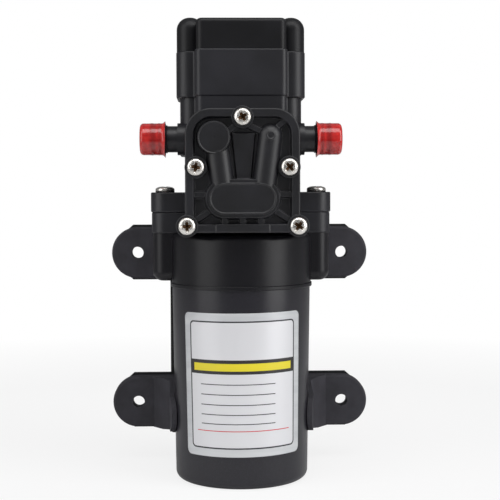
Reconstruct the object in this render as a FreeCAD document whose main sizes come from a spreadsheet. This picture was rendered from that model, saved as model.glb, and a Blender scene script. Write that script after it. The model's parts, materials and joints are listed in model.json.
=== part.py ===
import FreeCAD, Part
import math
import os
import Sketcher

# A small diaphragm water pump for a camper's tap, standing on the end of its motor.
# X runs to the right, Y to the back and Z up. The origin is the centre of the motor's end face.
# Every size is in millimetres.

doc = FreeCAD.newDocument("water_pump")
sheet = doc.addObject("Spreadsheet::Sheet", "Sizes")


class Length:
    """A value and the expression that gives it, kept together through plain arithmetic."""

    def __init__(self, text, value):
        self.text = text
        self.value = value

    def __add__(self, other):
        other = as_length(other)
        return Length(f"({self.text} + {other.text})", self.value + other.value)

    def __radd__(self, other):
        return as_length(other) + self

    def __sub__(self, other):
        other = as_length(other)
        return Length(f"({self.text} - {other.text})", self.value - other.value)

    def __rsub__(self, other):
        return as_length(other) - self

    def __mul__(self, other):
        other = as_length(other)
        return Length(f"({self.text} * {other.text})", self.value * other.value)

    def __rmul__(self, other):
        return as_length(other) * self

    def __truediv__(self, other):
        other = as_length(other)
        return Length(f"({self.text} / {other.text})", self.value / other.value)

    def __neg__(self):
        return as_length(0) - self


def as_length(value):
    if isinstance(value, Length):
        return value
    return Length(f"({value})" if value < 0 else f"{value}", float(value))


def hypotenuse(a, b):
    a, b = as_length(a), as_length(b)
    return Length(f"sqrt({a.text} * {a.text} + {b.text} * {b.text})", math.hypot(a.value, b.value))


def bearing_angle(across, up):
    """The angle in degrees from straight up towards +X."""
    across, up = as_length(across), as_length(up)
    value = math.degrees(math.atan2(across.value, up.value))
    return Length(f"(atan2({across.text}; {up.text}) / 1deg)", value)


def size(alias, value, note):
    """Write one driving dimension in the sheet and hand it back."""
    size.row += 1
    sheet.set(f"A{size.row}", alias)
    sheet.set(f"B{size.row}", str(value))
    sheet.set(f"C{size.row}", note)
    sheet.setAlias(f"B{size.row}", alias)
    return Length(f"Sizes.{alias}", float(value))


size.row = 0

# Motor can
can_radius = size("can_radius", 24.6, "outside radius of the motor can at its mouth")
can_draft = size("can_draft", 1.0, "how much the can's radius falls towards its closed end")
can_height = size("can_height", 68.7, "from the end face up to the bell")
can_wall = size("can_wall", 1.5, "wall of the can")
can_floor = size("can_floor", 2.0, "thickness of the can's closed end")
can_edge = size("can_edge", 2.6, "rounding of the closed end's edge")
seat_wall = size("seat_wall", 2.0, "wall round the lower bush")

# Shaft and bearings
shaft_radius = size("shaft_radius", 2.5, "radius of the motor shaft")
shaft_end_gap = size("shaft_end_gap", 0.6, "free space under the shaft's lower end")
running_gap = size("running_gap", 0.05, "radial clearance of a shaft in its bush")
bush_radius = size("bush_radius", 5.0, "outside radius of the lower bush")
bush_length = size("bush_length", 5.0, "length of the lower bush")
bearing_radius = size("bearing_radius", 6.5, "outside radius of the upper bearing")
bearing_length = size("bearing_length", 5.0, "width of the upper bearing")

# Bell between motor and pump head
bell_radius = size("bell_radius", 24.9, "outside radius of the bell")
bell_lip = size("bell_lip", 0.4, "how far the bell's lower lip stands out")
bell_lip_height = size("bell_lip_height", 1.4, "height of the lip")
bell_height = size("bell_height", 18.9, "height of the bell above the can")
bell_wall = size("bell_wall", 2.9, "wall of the bell")
bell_floor = size("bell_floor", 7.0, "thickness of the bell's floor")
bell_edge = size("bell_edge", 2.2, "rounding of the bell's upper edge")
spigot_depth = size("spigot_depth", 4.7, "how far the bell reaches into the can")
spigot_wall = size("spigot_wall", 2.0, "wall of that spigot")
fit_gap = size("fit_gap", 0.15, "clearance of parts that slip into each other")

# Ears and their long screws
ear_place = size("ear_place", 27.05, "distance of the ear screws from the shaft")
ear_radius = size("ear_radius", 5.05, "radius of the head's ears")
ear_step = size("ear_step", 0.3, "how much smaller the ears of the drive housing are")
boss_radius = size("boss_radius", 4.4, "radius of the bell's screw bosses")
boss_height = size("boss_height", 17.0, "height of those bosses")
boss_foot = size("boss_foot", 3.2, "rounding of the foot of a boss")
ear_screw_radius = size("ear_screw_radius", 1.6, "shank radius of the ear screws")
ear_screw_reach = size("ear_screw_reach", 10.0, "how deep the ear screws go into the bell")
ear_head_radius = size("ear_head_radius", 3.4, "head radius of the ear screws")
ear_head_height = size("ear_head_height", 2.1, "head height of the ear screws")
screw_gap = size("screw_gap", 0.15, "radial clearance round a screw")

# Pump head
drive_height = size("drive_height", 7.4, "height of the drive housing")
ear_height = size("ear_height", 7.1, "height of the head's ear layer")
collar_half_width = size("collar_half_width", 20.0, "half width of the ear layers between the ears")
collar_front = size("collar_front", 15.7, "how far the ear layers reach forward")
collar_back = size("collar_back", 19.5, "how far the ear layers reach back")
collar_corner = size("collar_corner", 5.0, "corner radius of the ear layers")
layer_edge = size("layer_edge", 0.5, "rounding of the ear layers and of the skirt")
head_top = size("head_top", 135.0, "height of the head's top face")
lobe_bottom = size("lobe_bottom", 115.0, "height where the side lobes start")
block_half_width = size("block_half_width", 15.6, "half width of the middle block")
block_front = size("block_front", 17.0, "how far the middle block reaches forward")
block_back = size("block_back", 20.0, "how far the middle block reaches back")
block_corner = size("block_corner", 2.2, "corner radius of the middle block")
lobe_half_width = size("lobe_half_width", 21.35, "half width over the two side lobes")
lobe_front = size("lobe_front", 8.6, "how far the lobes reach forward")
lobe_back = size("lobe_back", 15.0, "how far the lobes reach back")
lobe_corner = size("lobe_corner", 4.6, "corner radius of the lobes")
inner_corner = size("inner_corner", 0.9, "radius in the corner between block and lobe")

# Face of the head and its cover
flange_front = size("flange_front", 24.5, "how far the face of the head stands forward")
flange_back = size("flange_back", 16.5, "where the face's flange ends at the back")
cover_half_width = size("cover_half_width", 19.2, "half width of the cover")
cover_bottom = size("cover_bottom", 88.5, "height of the cover's lower edge")
cover_top = size("cover_top", 130.0, "height of the cover's upper edge")
cover_corner = size("cover_corner", 8.7, "radius of the cover's upper corners")
cover_foot = size("cover_foot", 1.2, "radius of the cover's lower corners")
gasket_thickness = size("gasket_thickness", 0.5, "thickness of the head gasket")
cover_floor = size("cover_floor", 2.2, "thickness of the cover between its ribs")
cover_rim = size("cover_rim", 4.4, "thickness of the cover at its rim")
rim_width = size("rim_width", 3.0, "width of the cover's rim")
cover_boss = size("cover_boss", 3.75, "radius of the cover's screw bosses")
top_screw_height = size("top_screw_height", 127.05, "height of the top cover screw")
middle_screw_place = size("middle_screw_place", 15.6, "half distance of the middle screws")
middle_screw_height = size("middle_screw_height", 110.4, "height of the middle screws")
low_screw_place = size("low_screw_place", 18.6, "half distance of the lower screws")
low_screw_height = size("low_screw_height", 90.8, "height of the lower screws")
cover_screw_radius = size("cover_screw_radius", 1.45, "shank radius of the cover screws")
cover_screw_length = size("cover_screw_length", 11.5, "length of a cover screw's shank")
cover_head_radius = size("cover_head_radius", 2.95, "head radius of the cover screws")
cover_head_height = size("cover_head_height", 2.0, "head height of the cover screws")

# Water ways seen on the cover
stroke_height = size("stroke_height", 99.9, "height of the diaphragm's axis")
oblong_half = size("oblong_half", 5.95, "half distance of the centres of the valve chamber's ends")
oblong_radius = size("oblong_radius", 6.6, "end radius of the valve chamber")
oblong_rise = size("oblong_rise", 5.4, "thickness of the cover over the chamber's shoulder")
plateau_step = size("plateau_step", 1.35, "how much smaller the chamber's plateau is")
plateau_rise = size("plateau_rise", 6.6, "thickness of the cover over the plateau")
round_place = size("round_place", 9.6, "how far left the round chamber lies")
round_height = size("round_height", 120.2, "height of the round chamber's centre")
round_radius = size("round_radius", 5.6, "radius of the round chamber")
round_rise = size("round_rise", 6.0, "thickness of the cover over the round chamber")
tube_radius = size("tube_radius", 3.3, "radius of the two moulded tubes")
tube_sink = size("tube_sink", 2.9, "how far the tubes' axes lie in front of the cover's back")
left_tube_top = size("left_tube_top", 8.2, "how far left the left tube starts")
left_tube_foot = size("left_tube_foot", 6.7, "how far left the left tube ends")
right_tube_top = size("right_tube_top", 9.35, "how far right the right tube starts")
right_tube_foot = size("right_tube_foot", 7.3, "how far right the right tube ends")
dome_height = size("dome_height", 121.0, "height of the right tube's domed end")
panel_step = size("panel_step", 0.9, "how far the panel between the tubes stands out")
rib_width = size("rib_width", 2.1, "width of the cover's ribs")
rib_rise = size("rib_rise", 3.9, "thickness of the cover over a rib")
slot_depth = size("slot_depth", 1.7, "depth of the two pockets under the valve chamber")
water_wall = size("water_wall", 1.6, "wall round the cover's water ways")

# Diaphragm, valves and crank
diaphragm_radius = size("diaphragm_radius", 9.0, "outside radius of the diaphragm")
diaphragm_rim = size("diaphragm_rim", 2.0, "thickness of the diaphragm's rim")
rim_land = size("rim_land", 1.4, "width of the rim that is clamped")
membrane = size("membrane", 0.8, "thickness of the diaphragm's rolling part")
piston_radius = size("piston_radius", 5.8, "radius of the rod's foot behind the diaphragm")
piston_thickness = size("piston_thickness", 2.0, "thickness of that foot")
throw = size("throw", 1.2, "offset of the eccentric, half the stroke")
valve_plate_half = size("valve_plate_half", 4.0, "half distance of the valve plate's end centres")
valve_plate_thickness = size("valve_plate_thickness", 4.0, "thickness of the valve plate")
chamber_depth = size("chamber_depth", 1.9, "depth of the pumping chamber in the valve plate")
valve_place = size("valve_place", 5.1, "how far left and right the valves lie")
valve_radius = size("valve_radius", 2.5, "radius of an umbrella valve")
valve_thickness = size("valve_thickness", 0.6, "thickness of an umbrella valve's skirt")
valve_stem = size("valve_stem", 0.7, "radius of a valve's stem")
valve_port = size("valve_port", 0.55, "radius of the small ports under a valve")
valve_port_place = size("valve_port_place", 1.55, "distance of the small ports from the stem")
drive_bore = size("drive_bore", 13.0, "radius of the drive chamber")
drive_floor = size("drive_floor", 2.8, "thickness of the drive chamber's floor")
rod_bore = size("rod_bore", 7.7, "radius of the opening that the rod works in")
eccentric_radius = size("eccentric_radius", 4.6, "radius of the eccentric")
eccentric_length = size("eccentric_length", 6.0, "height of the eccentric")
sleeve_radius = size("sleeve_radius", 7.0, "outside radius of the rod's bearing sleeve")
rod_eye = size("rod_eye", 9.0, "outside radius of the rod's eye")
rod_thickness = size("rod_thickness", 5.0, "height of the rod's eye")
rod_width = size("rod_width", 5.0, "width of the rod's shank")
weight_radius = size("weight_radius", 9.5, "radius of the counterweight")
weight_height = size("weight_height", 3.2, "height of the counterweight")

# Hose ports and their caps
port_height = size("port_height", 120.7, "height of the hose ports")
port_back = size("port_back", -6.0, "where the ports lie from front to back")
port_radius = size("port_radius", 4.6, "outside radius of a port's tube")
port_bore = size("port_bore", 3.0, "bore of a port")
port_end = size("port_end", 34.2, "half distance over the ends of the ports")
barb_radius = size("barb_radius", 4.95, "radius of a barb's crest")
barb_pitch = size("barb_pitch", 2.5, "distance from crest to crest")
first_barb = size("first_barb", 26.2, "distance of the innermost crest from the shaft")
port_collar = size("port_collar", 5.6, "radius of the collar where the port leaves the head")
cap_radius = size("cap_radius", 5.55, "outside radius of a port cap")
cap_wall = size("cap_wall", 0.55, "wall of a port cap")
cap_start = size("cap_start", 26.6, "distance of a cap's lip from the shaft")
cap_length = size("cap_length", 8.8, "length of a port cap")
cap_flare = size("cap_flare", 0.9, "how far the cap's lip flares out")

# Pressure switch housing and cap
skirt_step = size("skirt_step", 1.25, "how far the switch housing stands out over the lobes")
skirt_proud = size("skirt_proud", 0.3, "how far it stands out over the block")
skirt_height = size("skirt_height", 16.1, "height of the switch housing")
skirt_floor = size("skirt_floor", 2.5, "thickness of its floor")
skirt_wall = size("skirt_wall", 2.0, "wall of the housing and of its cap")
top_height = size("top_height", 12.1, "height of the switch cap over its lobes")
top_dip = size("top_dip", 1.5, "how much lower the cap's middle block is")
top_roof = size("top_roof", 1.8, "thickness of the cap's roof")
top_edge = size("top_edge", 1.5, "rounding of the cap's middle block")
lobe_edge = size("lobe_edge", 4.5, "rounding of the cap's lobes")
lobe_inset = size("lobe_inset", 2.6, "how far the lobes reach inside the block's sides")
cap_screw_place = size("cap_screw_place", 18.7, "half distance of the cap screws")
cap_screw_front = size("cap_screw_front", -3.6, "front row of cap screws")
cap_screw_back = size("cap_screw_back", 10.2, "back row of cap screws")
cap_screw_radius = size("cap_screw_radius", 1.1, "shank radius of the cap screws")
cap_screw_head = size("cap_screw_head", 2.0, "head radius of the cap screws")
cap_screw_sink = size("cap_screw_sink", 6.0, "depth of the holes that the heads sit in")
cap_screw_head_height = size("cap_screw_head_height", 1.5, "head height of the cap screws")
cap_screw_bite = size("cap_screw_bite", 9.0, "how deep the cap screws go into the head")

# Pressure switch
pressure_port = size("pressure_port", 2.0, "radius of the bore up to the pressure switch")
riser_place = size("riser_place", -4.0, "where that bore lies from front to back")
switch_disc = size("switch_disc", 7.0, "radius of the small switch diaphragm")
switch_disc_thickness = size("switch_disc_thickness", 1.2, "thickness of the switch diaphragm")
plunger_foot = size("plunger_foot", 5.0, "radius of the plunger's foot")
plunger_foot_height = size("plunger_foot_height", 1.5, "height of the plunger's foot")
plunger_radius = size("plunger_radius", 1.8, "radius of the plunger's stem")
plunger_gap = size("plunger_gap", 0.3, "free play round and over the plunger")
tower_wall = size("tower_wall", 1.6, "wall of the tower round the spring")
tower_height = size("tower_height", 9.0, "height of that tower")
adjuster_height = size("adjuster_height", 2.6, "height of the pressure adjusting ring")
spring_wire = size("spring_wire", 0.7, "wire diameter of the pressure spring")
switch_length = size("switch_length", 19.8, "length of the micro switch")
switch_width = size("switch_width", 6.4, "width of the micro switch")
switch_body_height = size("switch_body_height", 9.2, "height of the micro switch")
switch_travel = size("switch_travel", 0.6, "how far the plunger and the switch's button move")
button_radius = size("button_radius", 0.9, "radius of the micro switch's button")
button_show = size("button_show", 1.3, "how far the button stands out of the switch")
terminal_length = size("terminal_length", 2.6, "length of the switch's terminals")

# Cable grommet
grommet_height = size("grommet_height", 143.0, "height of the cable grommet")
grommet_radius = size("grommet_radius", 3.0, "radius of the hole for the grommet")
grommet_lip = size("grommet_lip", 1.3, "how far the grommet's lips reach past the hole")
grommet_bore = size("grommet_bore", 1.8, "radius of the grommet's own hole")
grommet_lip_height = size("grommet_lip_height", 1.2, "thickness of a lip")

# Base plate and rubber feet
plate_front = size("plate_front", 27.0, "how far behind the shaft the base plate lies")
plate_thickness = size("plate_thickness", 1.5, "thickness of the base plate")
plate_half_width = size("plate_half_width", 26.4, "half width of the plate's middle strip")
plate_bottom = size("plate_bottom", 10.0, "height of the plate's lower edge")
plate_top = size("plate_top", 91.5, "height of the plate's upper edge")
tab_proud = size("tab_proud", 0.8, "how far the plate's tabs show past the feet")
tab_shoulder = size("tab_shoulder", 40.4, "half distance of the tabs' shoulders")
tab_end = size("tab_end", 46.6, "half distance of the tabs' ends")
tab_nose = size("tab_nose", 5.0, "half height of the tabs' ends")
foot_place = size("foot_place", 38.5, "half distance of the mounting holes")
low_foot_height = size("low_foot_height", 22.8, "height of the lower mounting holes")
foot_spacing = size("foot_spacing", 56.6, "distance from the lower to the upper holes")
foot_radius = size("foot_radius", 9.65, "radius of a rubber foot")
foot_thickness = size("foot_thickness", 4.7, "thickness of a rubber foot")
foot_inner = size("foot_inner", 23.0, "where the upper feet end towards the middle")
foot_edge = size("foot_edge", 0.9, "rounding of a foot's front edge")
mount_hole = size("mount_hole", 2.25, "radius of the mounting holes")
saddle_wall = size("saddle_wall", 1.7, "thickness of the clip arms round the can")
saddle_gap = size("saddle_gap", 0.1, "clearance between can and saddle")
arm_reach = size("arm_reach", 7.0, "how far the clip arms reach forward")
arm_half_height = size("arm_half_height", 7.5, "half height of the arms beside the can's middle")
arm_nose = size("arm_nose", 5.5, "half height of the arms' front ends, and their rounding")
wing_front = size("wing_front", 14.0, "where the wings leave the clip arms")
wing_out = size("wing_out", 33.0, "half distance of the creases between wings and feet")
plate_screw_place = size("plate_screw_place", 6.0, "half distance of the base plate's screws")
plate_screw_radius = size("plate_screw_radius", 1.4, "shank radius of those screws")
plate_screw_head = size("plate_screw_head", 2.7, "head radius of those screws")
plate_screw_length = size("plate_screw_length", 5.2, "length of those screws")
pad_half_width = size("pad_half_width", 10.5, "half width of the pad behind the bell")
pad_half_height = size("pad_half_height", 6.0, "half height of that pad")

# Motor inside
ring_wall = size("ring_wall", 1.2, "wall of the steel flux ring")
ring_gap = size("ring_gap", 0.1, "clearance between flux ring and can")
ring_bottom = size("ring_bottom", 10.0, "height of the flux ring's lower edge")
ring_length = size("ring_length", 46.0, "length of the flux ring")
magnet_thickness = size("magnet_thickness", 4.4, "thickness of a magnet")
magnet_length = size("magnet_length", 36.0, "length of a magnet")
magnet_angle = size("magnet_angle", 124.0, "how many degrees a magnet spans")
air_gap = size("air_gap", 0.6, "gap between magnets and armature")
core_length = size("core_length", 30.0, "length of the armature core")
core_slots = size("core_slots", 5, "number of slots in the armature")
slot_width = size("slot_width", 2.4, "mouth width of an armature slot")
slot_reach = size("slot_reach", 5.2, "depth of an armature slot")
winding_reach = size("winding_reach", 1.6, "how far the end turns stay inside the core's edge")
winding_height = size("winding_height", 5.0, "height of the end turns")
commutator_radius = size("commutator_radius", 5.6, "radius of the commutator")
commutator_length = size("commutator_length", 9.0, "length of the commutator")
brush_width = size("brush_width", 4.0, "width and height of a carbon brush")
brush_length = size("brush_length", 6.0, "length of a carbon brush")
brush_gap = size("brush_gap", 0.05, "gap between brush and commutator at rest")
brush_card = size("brush_card", 1.6, "thickness of the brush card")
holder_wall = size("holder_wall", 0.9, "wall of a brush holder")
holder_length = size("holder_length", 11.5, "length of a brush holder")

doc.recompute()

# Heights and depths that several pieces share
bell_base = can_height
bell_top = bell_base + bell_height
drive_top = bell_top + drive_height
ear_top = drive_top + ear_height
switch_base = head_top
cap_base = switch_base + skirt_height
overall_height = cap_base + top_height
cover_back = flange_front + gasket_thickness
cover_face = cover_back + cover_rim
high_foot_height = low_foot_height + foot_spacing
can_inside = can_radius - can_wall
core_middle = ring_bottom + ring_length / 2
cover_screws = [
    (as_length(0), top_screw_height),
    (-middle_screw_place, middle_screw_height),
    (middle_screw_place, middle_screw_height),
    (-low_screw_place, low_screw_height),
    (low_screw_place, low_screw_height),
]
cap_screws = [
    (side * cap_screw_place, depth)
    for side in (-1, 1)
    for depth in (cap_screw_front, cap_screw_back)
]
parts = []


def bind(item, prop, length):
    """Tie one property to the sizes."""
    item.setExpression(prop, as_length(length).text)


def keep(item, label):
    """Name an object as one sub-part of the pump."""
    item.Label = label
    parts.append(item)
    return item


# Primitives and booleans

DIRECTIONS = {
    "up": FreeCAD.Rotation(),
    "down": FreeCAD.Rotation(FreeCAD.Vector(1, 0, 0), 180),
    "front": FreeCAD.Rotation(FreeCAD.Vector(1, 0, 0), 90),
    "back": FreeCAD.Rotation(FreeCAD.Vector(1, 0, 0), -90),
    "right": FreeCAD.Rotation(FreeCAD.Vector(0, 1, 0), 90),
    "left": FreeCAD.Rotation(FreeCAD.Vector(0, 1, 0), -90),
}


def place(item, spot, rotation=None):
    """Put an object at a spot whose three coordinates follow the sizes."""
    spot = [as_length(value) for value in spot]
    base = FreeCAD.Vector(*[value.value for value in spot])
    item.Placement = FreeCAD.Placement(base, rotation or FreeCAD.Rotation())
    for axis, value in zip("xyz", spot):
        bind(item, f"Placement.Base.{axis}", value)
    return item


def rod_of(name, radius, length, spot, direction="up"):
    """A plain cylinder."""
    item = doc.addObject("Part::Cylinder", name)
    bind(item, "Radius", radius)
    bind(item, "Height", length)
    return place(item, spot, DIRECTIONS[direction])


def cone_of(name, first, second, length, spot, direction="up"):
    """A cone or a tapered disc."""
    item = doc.addObject("Part::Cone", name)
    bind(item, "Radius1", first)
    bind(item, "Radius2", second)
    bind(item, "Height", length)
    return place(item, spot, DIRECTIONS[direction])


def block_of(name, across, depth, height):
    """A box between two values on each axis."""
    item = doc.addObject("Part::Box", name)
    spans = [[as_length(value) for value in pair] for pair in (across, depth, height)]
    for prop, (low, high) in zip(("Length", "Width", "Height"), spans):
        bind(item, prop, high - low)
    return place(item, [low for low, high in spans])


def join(name, pieces):
    item = doc.addObject("Part::MultiFuse", name)
    item.Shapes = pieces
    item.Refine = True
    return item


def cut(name, base, tools):
    tool = tools[0] if len(tools) == 1 else join(name + "_tools", tools)
    item = doc.addObject("Part::Cut", name)
    item.Base = base
    item.Tool = tool
    item.Refine = True
    return item


def group(name, pieces):
    """Several equal solids that share one node."""
    item = doc.addObject("Part::Compound", name)
    item.Links = pieces
    return item


# Bodies made from sketches

class Drawing:
    """A sketch on one of a body's own planes, every point of it tied to the sizes."""

    def __init__(self, body, name, role, shift=(0, 0, 0)):
        self.sketch = body.newObject("Sketcher::SketchObject", name)
        plane = [item for item in body.Origin.OriginFeatures if item.Role == role][0]
        self.sketch.AttachmentSupport = (plane, [""])
        self.sketch.MapMode = "FlatFace"
        shift = [as_length(value) for value in shift]
        base = FreeCAD.Vector(*[value.value for value in shift])
        self.sketch.AttachmentOffset = FreeCAD.Placement(base, FreeCAD.Rotation())
        for axis, value in zip("xyz", shift):
            bind(self.sketch, f"AttachmentOffset.Base.{axis}", value)
        self.driven = []

    def rule(self, kind, *values):
        """Add a constraint; a last value that is a Length drives it."""
        last = values[-1]
        if isinstance(last, Length):
            index = self.sketch.addConstraint(Sketcher.Constraint(kind, *values[:-1], last.value))
            self.driven.append((index, last))
        else:
            self.sketch.addConstraint(Sketcher.Constraint(kind, *values))

    def pin(self, shape, point, x, y):
        """Fix a point of the sketch at x and y from the origin."""
        self.rule("DistanceX", -1, 1, shape, point, as_length(x))
        self.rule("DistanceY", -1, 1, shape, point, as_length(y))

    def circle(self, x, y, radius):
        x, y = as_length(x), as_length(y)
        centre = FreeCAD.Vector(x.value, y.value, 0)
        shape = self.sketch.addGeometry(Part.Circle(centre, FreeCAD.Vector(0, 0, 1), radius.value))
        self.pin(shape, 3, x, y)
        self.rule("Radius", shape, radius)
        return self

    def slot(self, half, y, radius):
        """A slot that lies level, with its end centres at plus and minus half."""
        half, y = as_length(half), as_length(y)
        up = FreeCAD.Vector(0, radius.value, 0)
        right = FreeCAD.Vector(half.value, y.value, 0)
        left = FreeCAD.Vector(-half.value, y.value, 0)
        normal = FreeCAD.Vector(0, 0, 1)
        quarter = math.pi / 2
        low = self.sketch.addGeometry(Part.LineSegment(left - up, right - up))
        end = self.sketch.addGeometry(
            Part.ArcOfCircle(Part.Circle(right, normal, radius.value), -quarter, quarter))
        high = self.sketch.addGeometry(Part.LineSegment(right + up, left + up))
        start = self.sketch.addGeometry(
            Part.ArcOfCircle(Part.Circle(left, normal, radius.value), quarter, 3 * quarter))
        self.rule("Tangent", low, 2, end, 1)
        self.rule("Tangent", high, 1, end, 2)
        self.rule("Tangent", high, 2, start, 1)
        self.rule("Tangent", low, 1, start, 2)
        self.pin(end, 3, half, y)
        self.pin(start, 3, -half, y)
        self.rule("Radius", end, radius)
        self.rule("Equal", end, start)
        return self

    def outline(self, corners):
        """A closed outline of straight runs; a corner is (x, y) or (x, y, radius)."""
        spots = [(as_length(corner[0]), as_length(corner[1])) for corner in corners]
        points = [FreeCAD.Vector(x.value, y.value, 0) for x, y in spots]
        radii = [corner[2] if len(corner) > 2 else None for corner in corners]
        count = len(corners)
        arrive, leave = [], []
        for index, radius in enumerate(radii):
            here = points[index]
            before = (points[index - 1] - here).normalize()
            after = (points[(index + 1) % count] - here).normalize()
            if radius is None:
                arrive.append(here)
                leave.append(here)
                continue
            half = before.getAngle(after) / 2
            reach = radius.value / math.tan(half)
            arrive.append(here + before * reach)
            leave.append(here + after * reach)
        lines = [
            self.sketch.addGeometry(Part.LineSegment(leave[index], arrive[(index + 1) % count]))
            for index in range(count)
        ]
        for index, radius in enumerate(radii):
            into, out = lines[index - 1], lines[index]
            x, y = spots[index]
            if radius is None:
                self.rule("Coincident", into, 2, out, 1)
                self.pin(out, 1, x, y)
                continue
            here = points[index]
            before = (points[index - 1] - here).normalize()
            after = (points[(index + 1) % count] - here).normalize()
            half = before.getAngle(after) / 2
            centre = here + (before + after).normalize() * (radius.value / math.sin(half))
            first = arrive[index] - centre
            last = leave[index] - centre
            turns_left = before.cross(after).z < 0
            if not turns_left:
                first, last = last, first
            start = math.atan2(first.y, first.x)
            end = math.atan2(last.y, last.x)
            if end < start:
                end += 2 * math.pi
            round_corner = self.sketch.addGeometry(
                Part.ArcOfCircle(Part.Circle(centre, FreeCAD.Vector(0, 0, 1), radius.value), start, end))
            self.rule("Tangent", into, 2, round_corner, 1 if turns_left else 2)
            self.rule("Tangent", out, 1, round_corner, 2 if turns_left else 1)
            self.rule("Radius", round_corner, radius)
            corner = self.sketch.addGeometry(Part.Point(here), True)
            self.pin(corner, 1, x, y)
            self.rule("PointOnObject", corner, 1, into)
            self.rule("PointOnObject", corner, 1, out)
        return self

    def done(self):
        for index, length in self.driven:
            self.sketch.setExpression(f"Constraints[{index}]", length.text)
        return self.sketch


def new_body(name):
    return doc.addObject("PartDesign::Body", name)


def from_above(body, name, height):
    """A level sketch at a height; its Y runs to the back."""
    return Drawing(body, name, "XY_Plane", (0, 0, height))


def from_front(body, name, forward):
    """An upright sketch that lies a given way in front of the shaft; its Y runs up."""
    return Drawing(body, name, "XZ_Plane", (0, 0, forward))


def pad(body, name, drawing, length, reverse=False):
    item = body.newObject("PartDesign::Pad", name)
    item.Profile = drawing.done()
    item.Reversed = reverse
    bind(item, "Length", length)
    body.Tip = item
    return item


def pocket(body, name, drawing, length, reverse=False):
    """Cut a sketch into the body and make sure that it took something away."""
    doc.recompute()
    before = body.Shape.Volume
    item = body.newObject("PartDesign::Pocket", name)
    item.Profile = drawing.done()
    item.Reversed = reverse
    bind(item, "Length", length)
    body.Tip = item
    doc.recompute()
    if body.Shape.Volume > before - 1e-3:
        raise RuntimeError(f"{name} cuts nothing")
    return item


def revolve(body, name, drawing, axis="V_Axis"):
    item = body.newObject("PartDesign::Revolution", name)
    item.Profile = drawing.done()
    item.ReferenceAxis = (item.Profile[0], [axis])
    item.Angle = 360
    body.Tip = item
    return item


def round_edges(body, name, radius, wanted):
    """Fillet the edges of the body that a test picks out."""
    doc.recompute()
    base = body.Tip
    names = [
        f"Edge{index + 1}"
        for index, edge in enumerate(base.Shape.Edges)
        if wanted(edge)
    ]
    if not names:
        raise RuntimeError(f"{name} finds no edge")
    item = body.newObject("PartDesign::Fillet", name)
    item.Base = (base, names)
    bind(item, "Radius", radius)
    body.Tip = item
    return item


def level_at(height):
    """A test for edges that lie wholly at one height."""
    return lambda edge: (
        abs(edge.BoundBox.ZMin - height.value) < 1e-4
        and abs(edge.BoundBox.ZMax - height.value) < 1e-4)


def facing_at(forward):
    """A test for edges that lie wholly on one upright plane in front of the shaft."""
    return lambda edge: (
        abs(edge.BoundBox.YMin + forward.value) < 1e-4
        and abs(edge.BoundBox.YMax + forward.value) < 1e-4)


# Motor can

def make_can():
    body = new_body("can_body")
    seat = bush_radius + seat_wall
    seat_top = can_floor + bush_length
    revolve(body, "can_turn", Drawing(body, "can_profile", "XZ_Plane").outline([
        (0, 0),
        (can_radius - can_draft, 0, can_edge),
        (can_radius, can_height),
        (can_inside, can_height),
        (can_inside - can_draft, can_floor),
        (seat, can_floor),
        (seat, seat_top),
        (bush_radius, seat_top),
        (bush_radius, can_floor),
        (0, can_floor),
    ]))
    keep(body, "motor_can")


def ring(name, outer, inner, bottom, height):
    """A plain ring round the shaft."""
    return cut(name, rod_of(name + "_out", outer, height, (0, 0, bottom)),
               [rod_of(name + "_in", inner, height, (0, 0, bottom))])


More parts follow.
